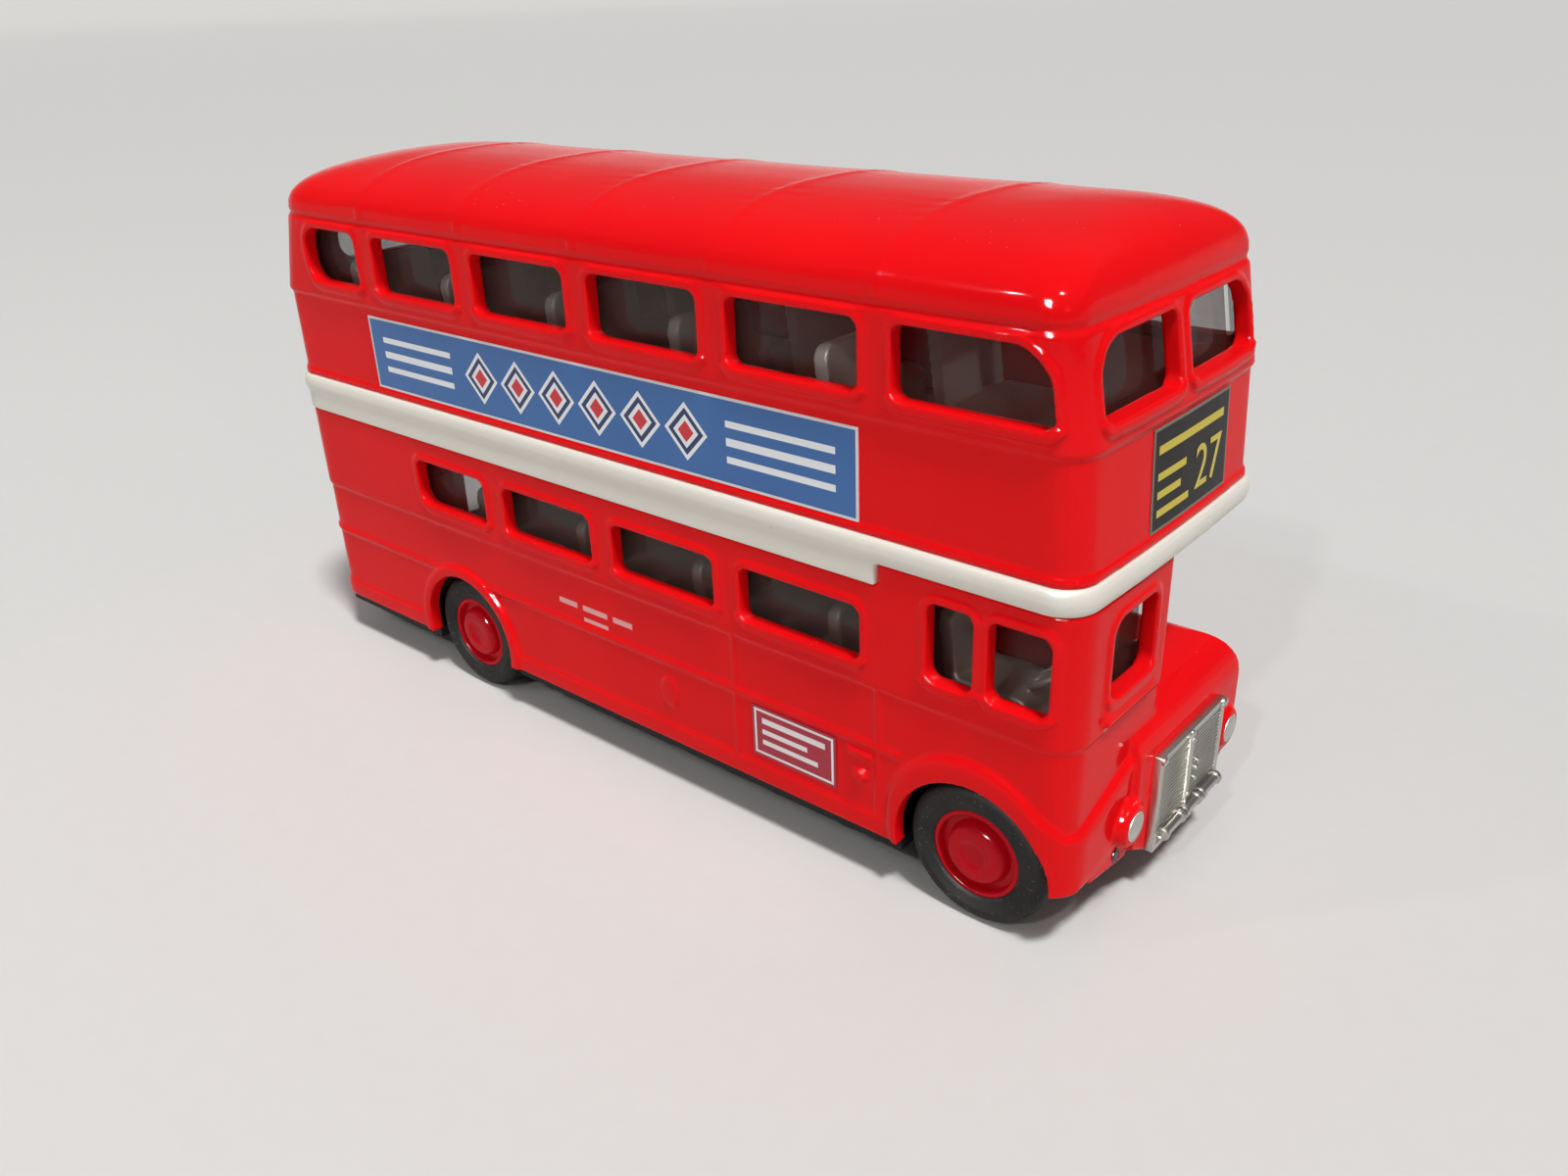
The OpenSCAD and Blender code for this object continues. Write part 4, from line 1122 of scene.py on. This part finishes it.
@dataclass
class RunningGear:
    """The wheels, the axles, the base and its rivets."""

    front_x: float = 48.75
    rear_x: float = -29.05
    hub_paint: Enamel = Enamel("hub_enamel", (0.58, 0.004, 0.012), (0.5, 0.003, 0.01), 0.22, 0.2)
    rubber: TyreRubber = TyreRubber("tyre_rubber")
    steel: TurnedSteel = TurnedSteel("turned_steel")
    base: Enamel = Enamel("base_enamel", (0.012, 0.012, 0.013), (0.02, 0.02, 0.02), 0.4, 0.2,
                          dust=(0.2, 0.18, 0.16))

    def build(self) -> None:
        """Make the wheels and dress the rest."""
        paint, rubber, steel = self.hub_paint.build(), self.rubber.build(), self.steel.build()
        for end, x, body in (("front", self.front_x, Body.FRONT), ("rear", self.rear_x, Body.REAR)):
            for side in Side:
                Wheel(f"wheel_{end}_{side.name.lower()}", x, side, body).build(paint, rubber)
        Bench.dress_nodes(steel, "front_axle", "rear_axle", "base_rivets")
        Bench.dress_nodes(self.base.build(), "baseplate")


@dataclass
class Labels:
    """The three stickers and the raised ink of the number."""

    number: str = "27"
    height: float = 4.4
    font_scale: float = 1.35
    centre: Corner = (60, 5.6, 43.6)
    lift: float = 0.03
    ink: Moulding = Moulding("yellow_ink", (0.62, 0.5, 0.06), (0.55, 0.43, 0.05), 0.4)

    def digits(self) -> bpy.types.Object:
        """Write the number as a flat mesh and lay it on the front sticker."""
        Bench.clear()
        bpy.ops.object.text_add(location=(0, 0, 0))
        piece = bpy.context.object
        piece.data.body = self.number
        piece.data.align_x, piece.data.align_y = "CENTER", "CENTER"
        piece.data.size = self.height * self.font_scale * MM
        bpy.ops.object.convert(target="MESH")
        piece = bpy.context.object
        piece.rotation_euler = (math.pi / 2, 0, math.pi / 2)
        piece.location = Vector(self.centre) * MM
        piece = Bench.settle("route_number")
        Bench.modify(piece, "SHRINKWRAP", target=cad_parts["front_label"], wrap_method="PROJECT",
                     use_project_x=True, use_project_y=False, use_project_z=False,
                     use_negative_direction=True, use_positive_direction=True, wrap_mode="ON_SURFACE",
                     offset=self.lift * MM)
        Bench.modify(piece, "SOLIDIFY", thickness=self.lift * MM, offset=1.0)
        return piece

    def build(self) -> None:
        """Dress the stickers and add the number."""
        prints = (("side_label", SidePrint), ("front_label", BlindPrint), ("notice_label", NoticePrint))
        for node, kind in prints:
            low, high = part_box(node)
            Bench.dress_nodes(kind(f"{node}_print", tuple(low), tuple(high)).build(), node)
        Bench.hand_over(self.digits(), self.ink.build(), Body.BUS, Slot.SIGN)


@dataclass(frozen=True)
class Softbox:
    """A square lamp that faces the bus. One without diffuse light shows in reflections alone."""

    name: str
    at: Corner
    watts: float
    size: float
    diffuse: bool = True


@dataclass
class Studio:
    """Pale round floor, soft lights and the camera, in metres."""

    eye: Corner = (0.10088, -0.103395, 0.085512)
    right: Corner = (0.76361, 0.64480, -0.03363)
    down: Corner = (0.25794, -0.35238, -0.89961)
    ahead: Corner = (-0.59192, 0.67828, -0.43540)
    lens: float = 29.07
    sensor: float = 36.0
    near: float = 0.001
    floor_colour: Colour = (0.62, 0.615, 0.6)
    floor_shade: float = 0.97
    floor_grain: float = 0.003
    floor_roughness: float = 0.8
    grain_roughness: float = 0.1
    floor_inset: float = 0.48
    floor_r: float = 4.8
    floor_sides: int = 128
    wall_colour: Colour = (0.3, 0.3, 0.3)
    wall_high: float = 3.4
    wall_curve: float = 1.2
    curve_steps: int = 12
    grade_high: float = 1.8
    sky_colour: Colour = (0.22, 0.22, 0.225)
    sun_from: Corner = (0.36, -0.14, 0.92)
    sun_strength: float = 2.75
    sun_angle: float = 8.0
    aim: Corner = (0, 0, 0.03)
    lamps: tuple[Softbox, ...] = (
        Softbox("key", (0.12, -0.42, 0.4), 0.46, 0.02), Softbox("fill", (0.55, -0.22, 0.25), 0.18, 0.016),
        Softbox("glint", (-0.25, -0.4, 0.45), 0.25, 0.016),
        Softbox("sheen", (0.14, -0.42, 0.4), 14.0, 0.16, diffuse=False))

    def rings(self) -> list[Span]:
        """Radius and height of each ring of the rim, from the floor to the top of the wall."""
        turns = [math.pi / 2 * step / self.curve_steps for step in range(1, self.curve_steps + 1)]
        curve = [(self.floor_r + self.wall_curve * math.sin(turn), self.wall_curve * (1 - math.cos(turn)))
                 for turn in turns]
        return [*curve, (curve[-1][0], self.wall_high)]

    def floor(self) -> None:
        """Lay a round floor and curve its rim up into a wall far away."""
        Bench.clear()
        bpy.ops.mesh.primitive_circle_add(vertices=self.floor_sides, radius=self.floor_r, fill_type="NGON")
        floor = Bench.settle("floor")
        Bench.pick_faces(floor, lambda middle, normal: True)
        bpy.ops.mesh.inset(thickness=self.floor_inset)
        Bench.pick_edges(floor, lambda a, b: min(a.length, b.length) > self.floor_r - self.floor_inset / 2)
        radius, height = self.floor_r, 0.0
        for ring, level in self.rings():
            bpy.ops.mesh.extrude_edges_move(TRANSFORM_OT_translate={"value": (0, 0, level - height)})
            bpy.ops.transform.resize(value=(ring / radius, ring / radius, 1))
            radius, height = ring, level
        Bench.clear()
        Bench.smooth(floor)
        s = Shader("pale_floor")
        grain = s.noise(self.floor_grain, 3.0)
        colour = s.mix(grain, self.floor_colour, tuple(self.floor_shade * c for c in self.floor_colour))
        colour = s.mix(s.parts(s.place())[2].ease(0.0, self.grade_high), colour, self.wall_colour)
        Bench.dress(floor, s.surface({
            "Base Color": colour, "Roughness": grain * self.grain_roughness + self.floor_roughness,
            "Specular IOR Level": 0.0}))

    def sky(self) -> None:
        """Light all round."""
        world = bpy.data.worlds.new("studio")
        bpy.context.scene.world = world
        s = Shader("studio", world)
        light = s.node("ShaderNodeBackground", inputs={"Color": s.paint(self.sky_colour)})
        s.node("ShaderNodeOutputWorld", inputs={"Surface": Signal(s, light.outputs[0])})

    @staticmethod
    def hang(name: str, data: bpy.types.ID) -> bpy.types.Object:
        """Put a lamp or a camera into the scene."""
        holder = bpy.data.objects.new(name, data)
        bpy.context.scene.collection.objects.link(holder)
        return holder

    def lights(self) -> None:
        """Hang the sun and the small lamps."""
        sun = bpy.data.lights.new("sun", "SUN")
        sun.energy, sun.angle = self.sun_strength, math.radians(self.sun_angle)
        self.hang("sun", sun).rotation_euler = Vector(self.sun_from).to_track_quat("Z", "Y").to_euler()
        for box in self.lamps:
            lamp = bpy.data.lights.new(box.name, "AREA")
            lamp.energy, lamp.size = box.watts, box.size
            holder = self.hang(box.name, lamp)
            holder.location = box.at
            holder.rotation_euler = (Vector(self.aim) - Vector(box.at)).to_track_quat("-Z", "Y").to_euler()
            holder.visible_diffuse = box.diffuse

    def camera(self) -> None:
        """Set up the camera where the photograph was taken from."""
        data = bpy.data.cameras.new("camera")
        data.lens, data.sensor_width, data.clip_start = self.lens, self.sensor, self.near
        holder = self.hang("camera", data)
        columns = (Vector(self.right), -Vector(self.down), -Vector(self.ahead))
        holder.matrix_world = Matrix.Translation(self.eye) @ Matrix(columns).transposed().to_4x4()
        bpy.context.scene.camera = holder

    def build(self) -> None:
        """Build the studio."""
        bpy.context.scene.view_settings.view_transform = "Standard"
        self.floor()
        self.sky()
        self.lights()
        self.camera()


def main() -> None:
    """Build every sub-assembly in order."""
    logging.basicConfig(level=logging.INFO, format="%(name)s %(message)s")
    for assembly in (Castings(), Mouldings(), Radiator(), Lamps(), RunningGear(), Labels(), Studio()):
        assembly.build()
    bpy.context.view_layer.update()


if __name__ == "__main__":
    main()
